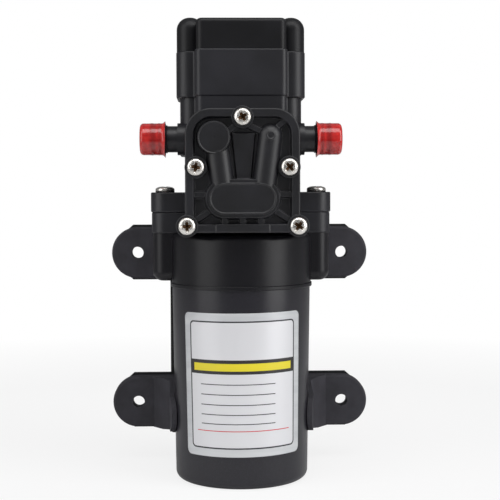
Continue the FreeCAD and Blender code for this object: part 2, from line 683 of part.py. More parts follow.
def make_motor_inside():
    ring_outer = can_inside - can_draft - ring_gap
    ring_inner = ring_outer - ring_wall
    magnet_outer = ring_inner - ring_gap
    magnet_inner = magnet_outer - magnet_thickness
    core_radius = magnet_inner - air_gap
    magnet_bottom = core_middle - magnet_length / 2
    core_bottom = core_middle - core_length / 2
    core_top = core_bottom + core_length
    bore = shaft_radius

    keep(ring("flux", ring_outer, ring_inner, ring_bottom, ring_length), "flux_ring")
    for side, label in ((90, "front"), (270, "back")):
        shell = []
        for part, radius in (("out", magnet_outer), ("in", magnet_inner)):
            item = rod_of(f"magnet_{label}_{part}", radius, magnet_length, (0, 0, magnet_bottom))
            bind(item, "Angle", magnet_angle)
            item.Placement.Rotation = FreeCAD.Rotation(
                FreeCAD.Vector(0, 0, 1), side - magnet_angle.value / 2)
            bind(item, "Placement.Rotation.Angle", side - magnet_angle / 2)
            shell.append(item)
        keep(cut(f"magnet_{label}", shell[0], [shell[1]]), f"magnet_{label}")

    keep(rod_of("shaft", shaft_radius,
                stroke_height + eccentric_length / 2 + 1 - can_floor - shaft_end_gap,
                (0, 0, can_floor + shaft_end_gap)), "motor_shaft")

    body = new_body("core_body")
    drawing = from_above(body, "core_outline", core_bottom).circle(0, 0, core_radius)
    pad(body, "core_pad", drawing.circle(0, 0, bore), core_length)
    slot = from_above(body, "slot_outline", core_top)
    wide = slot_width / 2
    deep = core_radius - slot_reach
    slot.outline([(-wide, deep), (wide, deep), (wide, core_radius + 1), (-wide, core_radius + 1)])
    first_slot = pocket(body, "slot_cut", slot, core_length)
    repeat = body.newObject("PartDesign::PolarPattern", "slots")
    repeat.Originals = [first_slot]
    repeat.Axis = (slot.sketch, ["N_Axis"])
    repeat.Angle = 360
    bind(repeat, "Occurrences", core_slots)
    body.Tip = repeat
    keep(body, "armature_core")

    turn_radius = core_radius - winding_reach
    turns = []
    for where, bottom in (("low", core_bottom - winding_height), ("high", core_top)):
        turns.append(ring(f"turns_{where}", turn_radius, bore + 1.2, bottom, winding_height))
    keep(group("turns", turns), "armature_windings")

    commutator_bottom = core_top + winding_height + 0.4
    keep(ring("commutator", commutator_radius, bore, commutator_bottom, commutator_length),
         "commutator")

    # The card sits against the bell's spigot and carries the two brush holders
    card_top = bell_base - spigot_depth
    card_bottom = card_top - brush_card
    brush_bottom = commutator_bottom + commutator_length / 2 - brush_width / 2
    half = brush_width / 2
    outside = half + holder_wall
    holder_start = commutator_radius + 0.8
    start = commutator_radius + brush_gap
    holders, tunnels = [], []
    for side, label in ((-1, "left"), (1, "right")):
        near, far = holder_start, holder_start + holder_length
        span = (near, far) if side > 0 else (-far, -near)
        holders.append(block_of(
            f"holder_{label}", span, (-outside, outside), (brush_bottom - holder_wall, card_bottom)))
        inner_near, inner_far = near - 1, far - holder_wall
        inner = (inner_near, inner_far) if side > 0 else (-inner_far, -inner_near)
        tunnels.append(block_of(
            f"tunnel_{label}", inner, (-half - 0.05, half + 0.05),
            (brush_bottom - 0.05, brush_bottom + brush_width + 0.05)))
        body_span = (start, start + brush_length) if side > 0 else (-start - brush_length, -start)
        keep(block_of(f"brush_{label}", body_span, (-half, half),
                      (brush_bottom, brush_bottom + brush_width)), f"brush_{label}")
        spring_near, spring_far = start + brush_length, inner_far
        length = spring_far - spring_near
        spot = (side * spring_near, 0, brush_bottom + half)
        direction = "right" if side > 0 else "left"
        outer = rod_of(f"brush_spring_{label}_out", half - 0.2, length, spot, direction)
        hollow = rod_of(f"brush_spring_{label}_in", half - 0.8, length, spot, direction)
        keep(cut(f"brush_spring_{label}", outer, [hollow]), f"brush_spring_{label}")
    card = ring("card_disc", can_inside - can_draft - fit_gap, commutator_radius + 0.8,
                card_bottom, brush_card)
    keep(cut("brush_card_item", join("card_solid", [card] + holders), tunnels), "brush_card")

    keep(ring("lower_bush_item", bush_radius, shaft_radius + running_gap, can_floor, bush_length),
         "lower_bush")
    keep(ring("upper_bearing_item", bearing_radius, shaft_radius + running_gap,
              bell_base + bell_floor - bearing_length, bearing_length), "upper_bearing")


# Bell

def make_bell():
    body = new_body("bell_body")
    spigot = can_inside - fit_gap
    floor_top = bell_base + bell_floor
    seat_bottom = floor_top - bearing_length
    hole = bearing_radius - 2
    inside = bell_radius - bell_wall
    lip = bell_radius + bell_lip
    revolve(body, "bell_turn", Drawing(body, "bell_profile", "XZ_Plane").outline([
        (hole, bell_base),
        (spigot - spigot_wall, bell_base),
        (spigot - spigot_wall, bell_base - spigot_depth),
        (spigot, bell_base - spigot_depth),
        (spigot, bell_base),
        (lip, bell_base, bell_lip * 0.6),
        (lip, bell_base + bell_lip_height, bell_lip * 0.6),
        (bell_radius, bell_base + bell_lip_height),
        (bell_radius, bell_top, bell_edge),
        (inside, bell_top),
        (inside, floor_top),
        (bearing_radius, floor_top),
        (bearing_radius, seat_bottom),
        (hole, seat_bottom),
    ]))
    bosses = from_above(body, "boss_outline", bell_top - boss_height)
    for side in (-1, 1):
        corners = [
            (side * (inside + 0.7), -boss_radius),
            (side * (ear_place + boss_radius), -boss_radius, boss_radius - 0.1),
            (side * (ear_place + boss_radius), boss_radius, boss_radius - 0.1),
            (side * (inside + 0.7), boss_radius),
        ]
        bosses.outline(corners if side > 0 else corners[::-1])
    pad(body, "boss_pad", bosses, boss_height)
    round_edges(body, "boss_round", boss_foot, lambda edge: (
        level_at(bell_top - boss_height)(edge)
        and abs(edge.CenterOfMass.x) > ear_place.value - 1.0))
    pad_outline = from_front(body, "rear_pad_outline", -plate_front)
    pad_outline.outline([
        (-pad_half_width, high_foot_height - pad_half_height),
        (pad_half_width, high_foot_height - pad_half_height),
        (pad_half_width, high_foot_height + pad_half_height),
        (-pad_half_width, high_foot_height + pad_half_height),
    ])
    pad(body, "rear_pad", pad_outline, plate_front - inside - 0.2)
    holes = from_above(body, "boss_hole_outline", bell_top)
    holes.circle(-ear_place, 0, ear_screw_radius + 0.02)
    holes.circle(ear_place, 0, ear_screw_radius + 0.02)
    pocket(body, "boss_holes", holes, ear_screw_reach + 1)
    holes = from_front(body, "pad_hole_outline", -plate_front)
    holes.circle(-plate_screw_place, high_foot_height, plate_screw_radius + 0.02)
    holes.circle(plate_screw_place, high_foot_height, plate_screw_radius + 0.02)
    pocket(body, "pad_holes", holes, plate_screw_length - plate_thickness, True)
    keep(body, "motor_bell")


# Ear layers, drive housing and pump head

def ear_layer(body, name, bottom, height, radius):
    """A level layer with two ears, made of a slot and a rounded middle."""
    drawing = from_above(body, name + "_ears", bottom).slot(ear_place, 0, radius)
    pad(body, name + "_ear_pad", drawing, height)
    drawing = from_above(body, name + "_middle", bottom)
    drawing.outline([
        (-collar_half_width, -collar_front, collar_corner),
        (collar_half_width, -collar_front, collar_corner),
        (collar_half_width, collar_back, collar_corner),
        (-collar_half_width, collar_back, collar_corner),
    ])
    pad(body, name + "_middle_pad", drawing, height)
    round_edges(body, name + "_round", layer_edge, lambda edge: (
        level_at(bottom)(edge) or level_at(bottom + height)(edge)))


def make_drive_housing():
    body = new_body("drive_body")
    ear_layer(body, "drive", bell_top, drive_height, ear_radius - ear_step)
    pocket(body, "drive_chamber", from_above(body, "drive_chamber_outline", drive_top)
           .circle(0, 0, drive_bore), drive_height - drive_floor)
    passage = from_above(body, "rod_passage_outline", drive_top)
    passage.outline([
        (-rod_bore, -collar_front - 1), (rod_bore, -collar_front - 1), (rod_bore, 0), (-rod_bore, 0),
    ])
    pocket(body, "rod_passage", passage, drive_top - stroke_height + rod_bore)
    pocket(body, "shaft_hole", from_above(body, "shaft_hole_outline", drive_top)
           .circle(0, 0, shaft_radius + 0.7), drive_height)
    holes = from_above(body, "drive_hole_outline", drive_top)
    holes.circle(-ear_place, 0, ear_screw_radius + screw_gap)
    holes.circle(ear_place, 0, ear_screw_radius + screw_gap)
    pocket(body, "drive_holes", holes, drive_height)
    keep(body, "drive_housing")


def plan_outline(drawing, step=0, lobe=lobe_half_width, lobe_step=0):
    """The head's outline seen from above: a middle block with a lobe at each side."""
    half = block_half_width + step
    front = -(block_front + step)
    back = block_back + step
    lobe_low = -(lobe_front + lobe_step)
    lobe_high = lobe_back + lobe_step
    return drawing.outline([
        (-half, front, block_corner), (half, front, block_corner),
        (half, lobe_low, inner_corner), (lobe, lobe_low, lobe_corner),
        (lobe, lobe_high, lobe_corner), (half, lobe_high, inner_corner),
        (half, back, block_corner), (-half, back, block_corner),
        (-half, lobe_high, inner_corner), (-lobe, lobe_high, lobe_corner),
        (-lobe, lobe_low, lobe_corner), (-half, lobe_low, inner_corner),
    ])


def face_outline(drawing, grow=0):
    """The outline of the cover and of the face that it sits on."""
    return drawing.outline([
        (-cover_half_width - grow, cover_bottom - grow, cover_foot),
        (cover_half_width + grow, cover_bottom - grow, cover_foot),
        (cover_half_width + grow, cover_top + grow, cover_corner),
        (-cover_half_width - grow, cover_top + grow, cover_corner),
    ])


def at_cover_screws(drawing, radius):
    """One circle at each cover screw."""
    for x, z in cover_screws:
        drawing.circle(x, z, radius)
    return drawing


def make_head():
    body = new_body("head_body")
    ear_layer(body, "head", drive_top, ear_height, ear_radius)
    block = from_above(body, "block_outline", drive_top).outline([
        (-block_half_width, -block_front, block_corner),
        (block_half_width, -block_front, block_corner),
        (block_half_width, block_back, block_corner),
        (-block_half_width, block_back, block_corner),
    ])
    pad(body, "block_pad", block, lobe_bottom - drive_top)
    pad(body, "lobe_pad", plan_outline(from_above(body, "lobe_outline", lobe_bottom)),
        head_top - lobe_bottom)
    depth = flange_front - flange_back
    pad(body, "face_pad", face_outline(from_front(body, "face_outline", flange_back)), depth)
    pad(body, "face_bosses",
        at_cover_screws(from_front(body, "face_boss_outline", flange_back), cover_boss), depth)

    # Ports with their collars and barbs, turned about the port axis
    for side, label in ((1, "right"), (-1, "left")):
        start = lobe_half_width - 3
        profile = Drawing(body, f"port_{label}_profile", "XZ_Plane", (0, port_height, -port_back))
        corners = [
            (side * start, 0),
            (side * start, port_collar),
            (side * (lobe_half_width + 0.9), port_collar),
            (side * (lobe_half_width + 0.9), port_radius),
        ]
        for step in range(3):
            crest = first_barb + step * barb_pitch
            corners += [
                (side * (crest - 0.5), port_radius),
                (side * (crest - 0.3), barb_radius),
                (side * (crest + barb_pitch - 0.6), port_radius - 0.2),
            ]
        corners += [(side * port_end, port_radius - 0.5), (side * port_end, 0)]
        revolve(body, f"port_{label}", profile.outline(corners if side < 0 else corners[::-1]),
                "H_Axis")

    # Recess for valve plate and diaphragm, then the rod's opening and the drive chamber
    plate = from_front(body, "plate_recess_outline", flange_front)
    plate.slot(valve_plate_half, stroke_height, diaphragm_radius + 0.1)
    pocket(body, "plate_recess", plate, valve_plate_thickness)
    seat = from_front(body, "diaphragm_seat_outline", flange_front - valve_plate_thickness)
    seat.circle(0, stroke_height, diaphragm_radius + 0.1)
    pocket(body, "diaphragm_seat", seat, diaphragm_rim)
    opening = from_front(
        body, "rod_opening_outline", flange_front - valve_plate_thickness - diaphragm_rim)
    opening.circle(0, stroke_height, rod_bore)
    pocket(body, "rod_opening", opening, flange_front - drive_bore + 4)
    chamber = from_above(body, "chamber_outline", drive_top).circle(0, 0, drive_bore)
    pocket(body, "chamber", chamber, stroke_height + eccentric_length / 2 + 3 - drive_top, True)

    # Water ways: in at the left to the round chamber, out at the right and up to the switch
    wells = from_front(body, "left_well_outline", flange_front)
    wells.circle(-round_place, round_height, port_bore)
    wells.circle(round_place, round_height, port_bore)
    pocket(body, "wells", wells, flange_front - (-port_back) + port_bore)
    for side, label, reach in (
            (1, "right", port_end + pressure_port),
            (-1, "left", port_end - round_place + 1)):
        bore = Drawing(body, f"{label}_bore_outline", "YZ_Plane", (0, 0, side * port_end))
        bore.circle(port_back, port_height, port_bore)
        pocket(body, f"{label}_bore", bore, reach, side < 0)
    riser = from_above(body, "riser_outline", head_top).circle(0, riser_place, pressure_port)
    pocket(body, "riser", riser, head_top - port_height)

    # Screw holes
    holes = at_cover_screws(from_front(body, "face_hole_outline", flange_front),
                            cover_screw_radius + 0.02)
    pocket(body, "face_holes", holes, cover_screw_length - cover_rim)
    holes = from_above(body, "ear_hole_outline", ear_top)
    holes.circle(-ear_place, 0, ear_screw_radius + screw_gap)
    holes.circle(ear_place, 0, ear_screw_radius + screw_gap)
    pocket(body, "ear_holes", holes, ear_height)
    holes = from_above(body, "cap_hole_outline", head_top)
    for x, y in cap_screws:
        holes.circle(x, y, cap_screw_radius + 0.02)
    pocket(body, "cap_holes", holes, cap_screw_bite + 0.5)
    seat = from_above(body, "switch_seat_outline", head_top)
    seat.circle(0, 0, switch_disc + 0.1)
    pocket(body, "switch_seat", seat, switch_disc_thickness)
    keep(body, "pump_head")


# Cover with its chambers, tubes and ribs

def rib(name, first, second, rise=rib_rise, width=rib_width):
    """An upright rib on the cover between two spots given as x and z."""
    across = as_length(second[0]) - first[0]
    up = as_length(second[1]) - first[1]
    item = doc.addObject("Part::Wedge", name)
    low = -(cover_back + rise)
    for prop, value in (
            ("Xmin", -width / 2), ("X2min", -width / 2), ("Xmax", width / 2), ("X2max", width / 2),
            ("Ymin", low), ("Ymax", -(cover_back + 0.3)),
            ("Zmin", as_length(0)), ("Z2min", as_length(0)),
            ("Zmax", hypotenuse(across, up)), ("Z2max", hypotenuse(across, up))):
        bind(item, prop, value)
    angle = bearing_angle(across, up)
    place(item, (first[0], 0, first[1]), FreeCAD.Rotation(FreeCAD.Vector(0, 1, 0), angle.value))
    bind(item, "Placement.Rotation.Angle", angle)
    return item


def slanted(name, radius, first, second, forward):
    """A cylinder between two spots given as x and z, lying in an upright plane."""
    across = as_length(second[0]) - first[0]
    up = as_length(second[1]) - first[1]
    item = doc.addObject("Part::Cylinder", name)
    bind(item, "Radius", radius)
    bind(item, "Height", hypotenuse(across, up))
    angle = bearing_angle(across, up)
    place(item, (first[0], -forward, first[1]),
          FreeCAD.Rotation(FreeCAD.Vector(0, 1, 0), angle.value))
    bind(item, "Placement.Rotation.Angle", angle)
    return item


def ball(name, radius, spot):
    item = doc.addObject("Part::Sphere", name)
    bind(item, "Radius", radius)
    return place(item, spot)


def make_cover():
    body = new_body("cover_body")
    back = cover_back
    pad(body, "cover_floor_pad", face_outline(from_front(body, "cover_floor_outline", back)),
        cover_floor)
    rim = face_outline(from_front(body, "rim_outline", back))
    inner = cover_half_width - rim_width
    inner_corner_radius = cover_corner - rim_width
    rim.outline([
        (-inner, cover_bottom + rim_width, cover_foot),
        (inner, cover_bottom + rim_width, cover_foot),
        (inner, cover_top - rim_width, inner_corner_radius),
        (-inner, cover_top - rim_width, inner_corner_radius),
    ])
    pad(body, "rim_pad", rim, cover_rim)
    pad(body, "cover_bosses",
        at_cover_screws(from_front(body, "cover_boss_outline", back), cover_boss), cover_rim)
    shoulder = from_front(body, "shoulder_outline", back)
    shoulder.slot(oblong_half, stroke_height, oblong_radius)
    pad(body, "shoulder_pad", shoulder, oblong_rise)
    plateau = from_front(body, "plateau_outline", back)
    plateau.slot(oblong_half, stroke_height, oblong_radius - plateau_step)
    pad(body, "plateau_pad", plateau, plateau_rise)
    chamber = from_front(body, "round_outline", back)
    chamber.circle(-round_place, round_height, round_radius)
    pad(body, "round_pad", chamber, round_rise)
    panel_top = round_height + 1.6
    panel_foot = stroke_height + oblong_radius
    panel = from_front(body, "panel_outline", back)
    panel.outline([
        (-left_tube_foot + tube_radius + 0.4, panel_foot),
        (right_tube_foot - tube_radius - 0.4, panel_foot),
        (right_tube_top - tube_radius - 1.6, panel_top),
        (-left_tube_top + tube_radius + 1.2, panel_top),
    ])
    pad(body, "panel_pad", panel, cover_floor + panel_step)
    bar = from_front(body, "bar_outline", back)
    bar_half = cover_half_width - 10.1
    bar.outline([
        (-bar_half, cover_bottom), (bar_half, cover_bottom),
        (bar_half, cover_bottom + rim_width), (-bar_half, cover_bottom + rim_width),
    ])
    pad(body, "bar_pad", bar, cover_rim + 0.35)
    round_edges(body, "plateau_round", water_wall / 2, facing_at(back + plateau_rise))
    slots = from_front(body, "pocket_outline", back + cover_floor)
    low = cover_bottom + rim_width
    high = stroke_height - oblong_radius
    for side in (-1, 1):
        edge = rib_width / 2
        corners = [(side * edge, low), (side * (edge + 3.7), low),
                   (side * (edge + 3.7), high), (side * edge, high)]
        slots.outline(corners if side > 0 else corners[::-1])
    pocket(body, "pockets", slots, slot_depth)

    forward = back + tube_sink
    valve_top = stroke_height + oblong_radius - 1
    left_top = (-left_tube_top, round_height - round_radius + 0.6)
    left_foot = (-left_tube_foot, valve_top)
    right_top = (right_tube_top, dome_height)
    right_foot = (right_tube_foot, valve_top)
    tubes = [
        slanted("left_tube", tube_radius, left_top, left_foot, forward),
        slanted("right_tube", tube_radius, right_top, right_foot, forward),
        ball("dome", tube_radius, (right_tube_top, -forward, dome_height)),
        rod_of("dimple", tube_radius / 3, tube_radius + 0.45, (right_tube_top, -forward, dome_height),
               "front"),
    ]
    inside = cover_half_width - rim_width
    top = top_screw_height
    side_z = stroke_height + 1.4
    middle = middle_screw_height - 0.4
    ribs = [
        rib("rib_top_left", (-2, top - 2.6), (-round_place + 3.4, round_height + 3.4)),
        rib("rib_top_right", (2, top - 2.6), (right_tube_top - 1.6, dome_height + 1.4)),
        rib("rib_corner", (right_tube_top + 1.6, dome_height + 1.6), (inside - 1.6, cover_top - 5.2)),
        rib("rib_side_left", (-oblong_half - oblong_radius + 0.6, side_z), (-inside - 0.4, side_z)),
        rib("rib_side_right", (oblong_half + oblong_radius - 0.6, side_z), (inside + 0.4, side_z)),
        rib("rib_low_left", (-oblong_half - 4.4, stroke_height - 4.2), (-inside - 0.2, low + 1.0)),
        rib("rib_low_right", (oblong_half + 4.4, stroke_height - 4.2), (inside + 0.2, low + 1.0)),
        rib("rib_mid_left", (-left_tube_foot - 2.6, middle), (-middle_screw_place + 2.6, middle)),
        rib("rib_mid_right", (right_tube_foot + 2.6, middle), (middle_screw_place - 2.6, middle)),
    ]
    for index, x in enumerate((-rib_width - 3.85, as_length(0), rib_width + 3.85)):
        ribs.append(rib(f"rib_foot_{index}", (x, low - 0.4), (x, high + 0.5)))
    solid = join("cover_solid", [body] + tubes + ribs)

    # Hollows behind: the two valve chambers, the round chamber and the tubes' bores
    bore = tube_radius - water_wall
    depth = plateau_rise - water_wall - 0.6
    split = water_wall / 2
    reach = oblong_radius - water_wall - 0.4
    low_z = stroke_height - reach
    high_z = stroke_height + reach
    hollows = [
        block_of("back_trim", (-cover_half_width, cover_half_width), (-back, -back + 2),
                 (cover_bottom, cover_top)),
        block_of("suction_hollow", (-oblong_half - 2.8, -split), (-(back + depth), -back + 1),
                 (low_z, high_z)),
        block_of("delivery_hollow", (split, oblong_half + 2.8), (-(back + depth), -back + 1),
                 (low_z, high_z)),
        rod_of("round_hollow", round_radius - water_wall, depth,
               (-round_place, -back, round_height), "front"),
        slanted("left_way", bore, left_top, left_foot, forward - 0.5),
        slanted("right_way", bore, right_top, right_foot, forward - 0.5),
        rod_of("right_drop", bore, tube_sink + 1, (right_tube_top, -back + 0.5, dome_height), "front"),
    ]
    for index, (x, z) in enumerate(cover_screws):
        hollows.append(rod_of(f"cover_hole_{index}", cover_screw_radius + screw_gap, cover_rim + 2,
                              (x, -back + 1, z), "front"))
    keep(cut("cover_item", solid, hollows), "front_cover")


def make_gasket():
    body = new_body("gasket_body")
    drawing = face_outline(from_front(body, "gasket_outline", flange_front), -0.25)
    drawing.slot(valve_plate_half, stroke_height, diaphragm_radius - 0.8)
    pad(body, "gasket_pad", drawing, gasket_thickness)
    holes = from_front(body, "gasket_hole_outline", flange_front + gasket_thickness)
    for side in (-1, 1):
        holes.circle(side * round_place, round_height, port_bore)
    pocket(body, "gasket_holes", at_cover_screws(holes, cover_screw_radius + screw_gap),
           gasket_thickness)
    keep(body, "head_gasket")


# Valve plate, valves, diaphragm and rod

def make_valves():
    face = flange_front
    back_face = face - valve_plate_thickness
    web = valve_plate_thickness - chamber_depth
    body = new_body("valve_plate_body")
    drawing = from_front(body, "valve_plate_outline", back_face)
    drawing.slot(valve_plate_half, stroke_height, diaphragm_radius)
    pad(body, "valve_plate_pad", drawing, valve_plate_thickness)
    chamber = from_front(body, "pump_chamber_outline", back_face)
    chamber.circle(0, stroke_height, diaphragm_radius - rim_land)
    pocket(body, "pump_chamber", chamber, chamber_depth, True)
    holes = from_front(body, "port_holes_outline", face)
    for side in (-1, 1):
        x = side * valve_place
        holes.circle(x, stroke_height, valve_stem)
        for across, up in ((1, 1), (1, -1), (-1, 1), (-1, -1)):
            holes.circle(x + across * valve_port_place * 0.7, stroke_height + up * valve_port_place * 0.7,
                         valve_port)
    pocket(body, "port_holes", holes, valve_plate_thickness)
    keep(body, "valve_plate")

    # The suction valve opens into the pumping chamber, the delivery valve towards the cover
    for label, x, start, lip, stem in (
            ("inlet", -valve_place, face - web, "back", "front"),
            ("outlet", valve_place, face, "front", "back")):
        skirt = cone_of(f"{label}_skirt", valve_radius, valve_radius - 0.7, valve_thickness,
                        (x, -start, stroke_height), lip)
        shank = rod_of(f"{label}_stem", valve_stem - 0.02, web, (x, -start, stroke_height), stem)
        far = start + web if stem == "front" else start - web
        knob = cone_of(f"{label}_knob", valve_stem + 0.35, valve_stem - 0.1, 0.4,
                       (x, -far, stroke_height), stem)
        keep(join(f"{label}_valve_item", [skirt, shank, knob]), f"{label}_valve")

    body = new_body("diaphragm_body")
    rim_front = back_face
    rim_back = rim_front - diaphragm_rim
    disc_front = rim_front - 0.1
    disc_back = disc_front - membrane - 0.4
    hole = ear_screw_radius - 0.4
    axis_sketch = Drawing(body, "diaphragm_profile", "XY_Plane", (0, 0, stroke_height))
    axis_sketch.outline([
        (hole, -disc_front),
        (piston_radius, -disc_front),
        (piston_radius + 0.3, -rim_front + 0.9),
        (diaphragm_radius - rim_land, -rim_front + 0.9),
        (diaphragm_radius - rim_land, -rim_front),
        (diaphragm_radius, -rim_front),
        (diaphragm_radius, -rim_back),
        (diaphragm_radius - rim_land, -rim_back),
        (diaphragm_radius - rim_land, -rim_front + 0.9 + membrane),
        (piston_radius + 0.6, -rim_front + 0.9 + membrane),
        (piston_radius + 0.05, -disc_back),
        (hole, -disc_back),
    ])
    revolve(body, "diaphragm_turn", axis_sketch)
    keep(body, "diaphragm")

    washer = cut("washer_item",
                 rod_of("washer_out", piston_radius - 1.6, 0.4, (0, -disc_front, stroke_height), "front"),
                 [rod_of("washer_in", hole, 0.4, (0, -disc_front, stroke_height), "front")])
    keep(washer, "diaphragm_washer")
    head = rod_of("diaphragm_screw_head", 2.1, 0.9, (0, -(disc_front + 0.4), stroke_height), "front")
    shank = rod_of("diaphragm_screw_shank", hole - 0.05, 6.5, (0, -(disc_front + 0.4), stroke_height),
                   "back")
    keep(join("diaphragm_screw_item", [head, shank]), "diaphragm_screw")

    # Eccentric at the front of its turn, so the diaphragm rests at the end of its stroke
    centre = -throw
    bottom = stroke_height - eccentric_length / 2
    eccentric = rod_of("eccentric_disc", eccentric_radius, eccentric_length, (0, centre, bottom))
    weight = rod_of("weight_disc", weight_radius, weight_height, (0, 0, bottom - weight_height))
    bind(weight, "Angle", as_length(180))
    shaft_hole = rod_of("eccentric_bore", shaft_radius, eccentric_length + weight_height,
                        (0, 0, bottom - weight_height))
    hub = rod_of("eccentric_hub", shaft_radius + 1.6, weight_height, (0, 0, bottom - weight_height))
    keep(cut("eccentric_item", join("eccentric_solid", [eccentric, weight, hub]), [shaft_hole]),
         "eccentric")

    rod_bottom = stroke_height - rod_thickness / 2
    sleeve_out = rod_of("sleeve_out", sleeve_radius, rod_thickness, (0, centre, rod_bottom))
    sleeve_in = rod_of("sleeve_in", eccentric_radius + running_gap, rod_thickness,
                       (0, centre, rod_bottom))
    keep(cut("rod_sleeve_item", sleeve_out, [sleeve_in]), "rod_bearing")
    foot_back = disc_back - piston_thickness
    eye = rod_of("rod_eye_disc", rod_eye, rod_thickness, (0, centre, rod_bottom))
    shank = block_of("rod_shank", (-rod_width / 2, rod_width / 2), (-foot_back, centre),
                     (rod_bottom + 0.5, rod_bottom + rod_thickness - 0.5))
    foot = rod_of("rod_foot", piston_radius, piston_thickness, (0, -disc_back, stroke_height), "back")
    neck = cone_of("rod_neck", piston_radius - 1, rod_width / 2, 2.4,
                   (0, -foot_back, stroke_height), "back")
    hollow = rod_of("rod_eye_bore", sleeve_radius, rod_thickness, (0, centre, rod_bottom))
    thread = rod_of("rod_thread", hole - 0.04, 7, (0, -(disc_back + 0.5), stroke_height), "back")
    keep(cut("rod_item", join("rod_solid", [eye, shank, foot, neck]), [hollow, thread]),
         "connecting_rod")


# Screws

def pan_screw(name, spot, direction, opposite, head, head_height, shank, length):
    """A screw whose head starts at the spot and whose shank goes the other way."""
    flat = head_height * 0.45
    pieces = [
        rod_of(name + "_head", head, flat, spot, direction),
        rod_of(name + "_shank", shank, length, spot, opposite),
    ]
    dome = doc.addObject("Part::Sphere", name + "_dome")
    rise = head_height - flat
    bind(dome, "Radius", (head * head + rise * rise) / (2 * rise))
    sink = (head * head - rise * rise) / (2 * rise)
    if direction == "up":
        place(dome, (spot[0], spot[1], spot[2] + flat - sink))
        keep_box = rod_of(name + "_clip", head, head_height, spot, direction)
    else:
        place(dome, (spot[0], spot[1] - flat + sink, spot[2]))
        keep_box = rod_of(name + "_clip", head, head_height, spot, direction)
    cap = doc.addObject("Part::Common", name + "_cap")
    cap.Base = dome
    cap.Tool = keep_box
    return join(name, pieces + [cap])


def make_screws():
    keep(group("cover_screw_group", [
        pan_screw(f"cover_screw_{index}", (x, -cover_face, z), "front", "back", cover_head_radius,
                  cover_head_height, cover_screw_radius, cover_screw_length)
        for index, (x, z) in enumerate(cover_screws)
    ]), "cover_screws")
    reach = ear_height + drive_height + ear_screw_reach
    keep(group("ear_screw_group", [
        pan_screw(f"ear_screw_{index}", (side * ear_place, 0, ear_top), "up", "down",
                  ear_head_radius, ear_head_height, ear_screw_radius, reach)
        for index, side in enumerate((-1, 1))
    ]), "ear_screws")
    seat = overall_height - cap_screw_sink
    length = seat - head_top + cap_screw_bite
    keep(group("cap_screw_group", [
        pan_screw(f"cap_screw_{index}", (x, y, seat), "up", "down", cap_screw_head,
                  cap_screw_head_height, cap_screw_radius, length)
        for index, (x, y) in enumerate(cap_screws)
    ]), "cap_screws")
    base_screws = []
    back = plate_front + plate_thickness
    for index, side in enumerate((-1, 1)):
        spot = (side * plate_screw_place, back, high_foot_height)
        head = cone_of(f"base_screw_{index}_head", plate_screw_head, plate_screw_radius,
                       plate_thickness, spot, "front")
        shank = rod_of(f"base_screw_{index}_shank", plate_screw_radius, plate_screw_length, spot,
                       "front")
        base_screws.append(join(f"base_screw_{index}", [head, shank]))
    keep(group("base_screw_group", base_screws), "base_screws")


# Pressure switch housing, its cap and the switch inside

def make_switch_housing():
    body = new_body("switch_housing_body")
    lobe = lobe_half_width + skirt_step
    pad(body, "skirt_pad", plan_outline(from_above(body, "skirt_outline", switch_base),
                                        skirt_proud, lobe, skirt_step - 0.4), skirt_height)
    round_edges(body, "skirt_round", layer_edge, lambda edge: (
        level_at(switch_base)(edge) or level_at(cap_base)(edge)))
    inner = block_half_width + skirt_proud - skirt_wall
    front = block_front + skirt_proud - skirt_wall
    back = block_back + skirt_proud - skirt_wall
    room = from_above(body, "skirt_room_outline", cap_base)
    room.outline([(-inner, -front, inner_corner), (inner, -front, inner_corner),
                  (inner, back, inner_corner), (-inner, back, inner_corner)])
    pocket(body, "skirt_room", room, skirt_height - skirt_floor)
    tower_out = plunger_foot + plunger_gap + tower_wall
    tower = from_above(body, "tower_ring_outline", switch_base + skirt_floor)
    tower.circle(0, 0, tower_out)
    pad(body, "tower_ring", tower, tower_height - skirt_floor)
    well = from_above(body, "tower_well_outline", switch_base + tower_height)
    well.circle(0, 0, plunger_foot + plunger_gap)
    pocket(body, "tower_well", well, tower_height)
    # Two ledges carry the micro switch
    ledge_top = switch_base + skirt_height - 0.6
    ledge = from_above(body, "ledge_outline", switch_base + skirt_floor)
    for side in (-1, 1):
        corners = [
            (side * (switch_length / 2 - 1.6), -switch_width / 2),
            (side * (switch_length / 2 + 1.4), -switch_width / 2),
            (side * (switch_length / 2 + 1.4), switch_width / 2),
            (side * (switch_length / 2 - 1.6), switch_width / 2),
        ]
        ledge.outline(corners if side > 0 else corners[::-1])
    pad(body, "ledges", ledge, ledge_top - switch_base - skirt_floor)
    hole = from_front(body, "cable_hole_outline", -(block_back + skirt_proud))
    hole.circle(0, grommet_height, grommet_radius)
    pocket(body, "cable_hole", hole, skirt_wall, True)
    holes = from_above(body, "skirt_hole_outline", cap_base)
    for x, y in cap_screws:
        holes.circle(x, y, cap_screw_radius + screw_gap)
    pocket(body, "skirt_holes", holes, skirt_height)
    keep(body, "switch_housing")


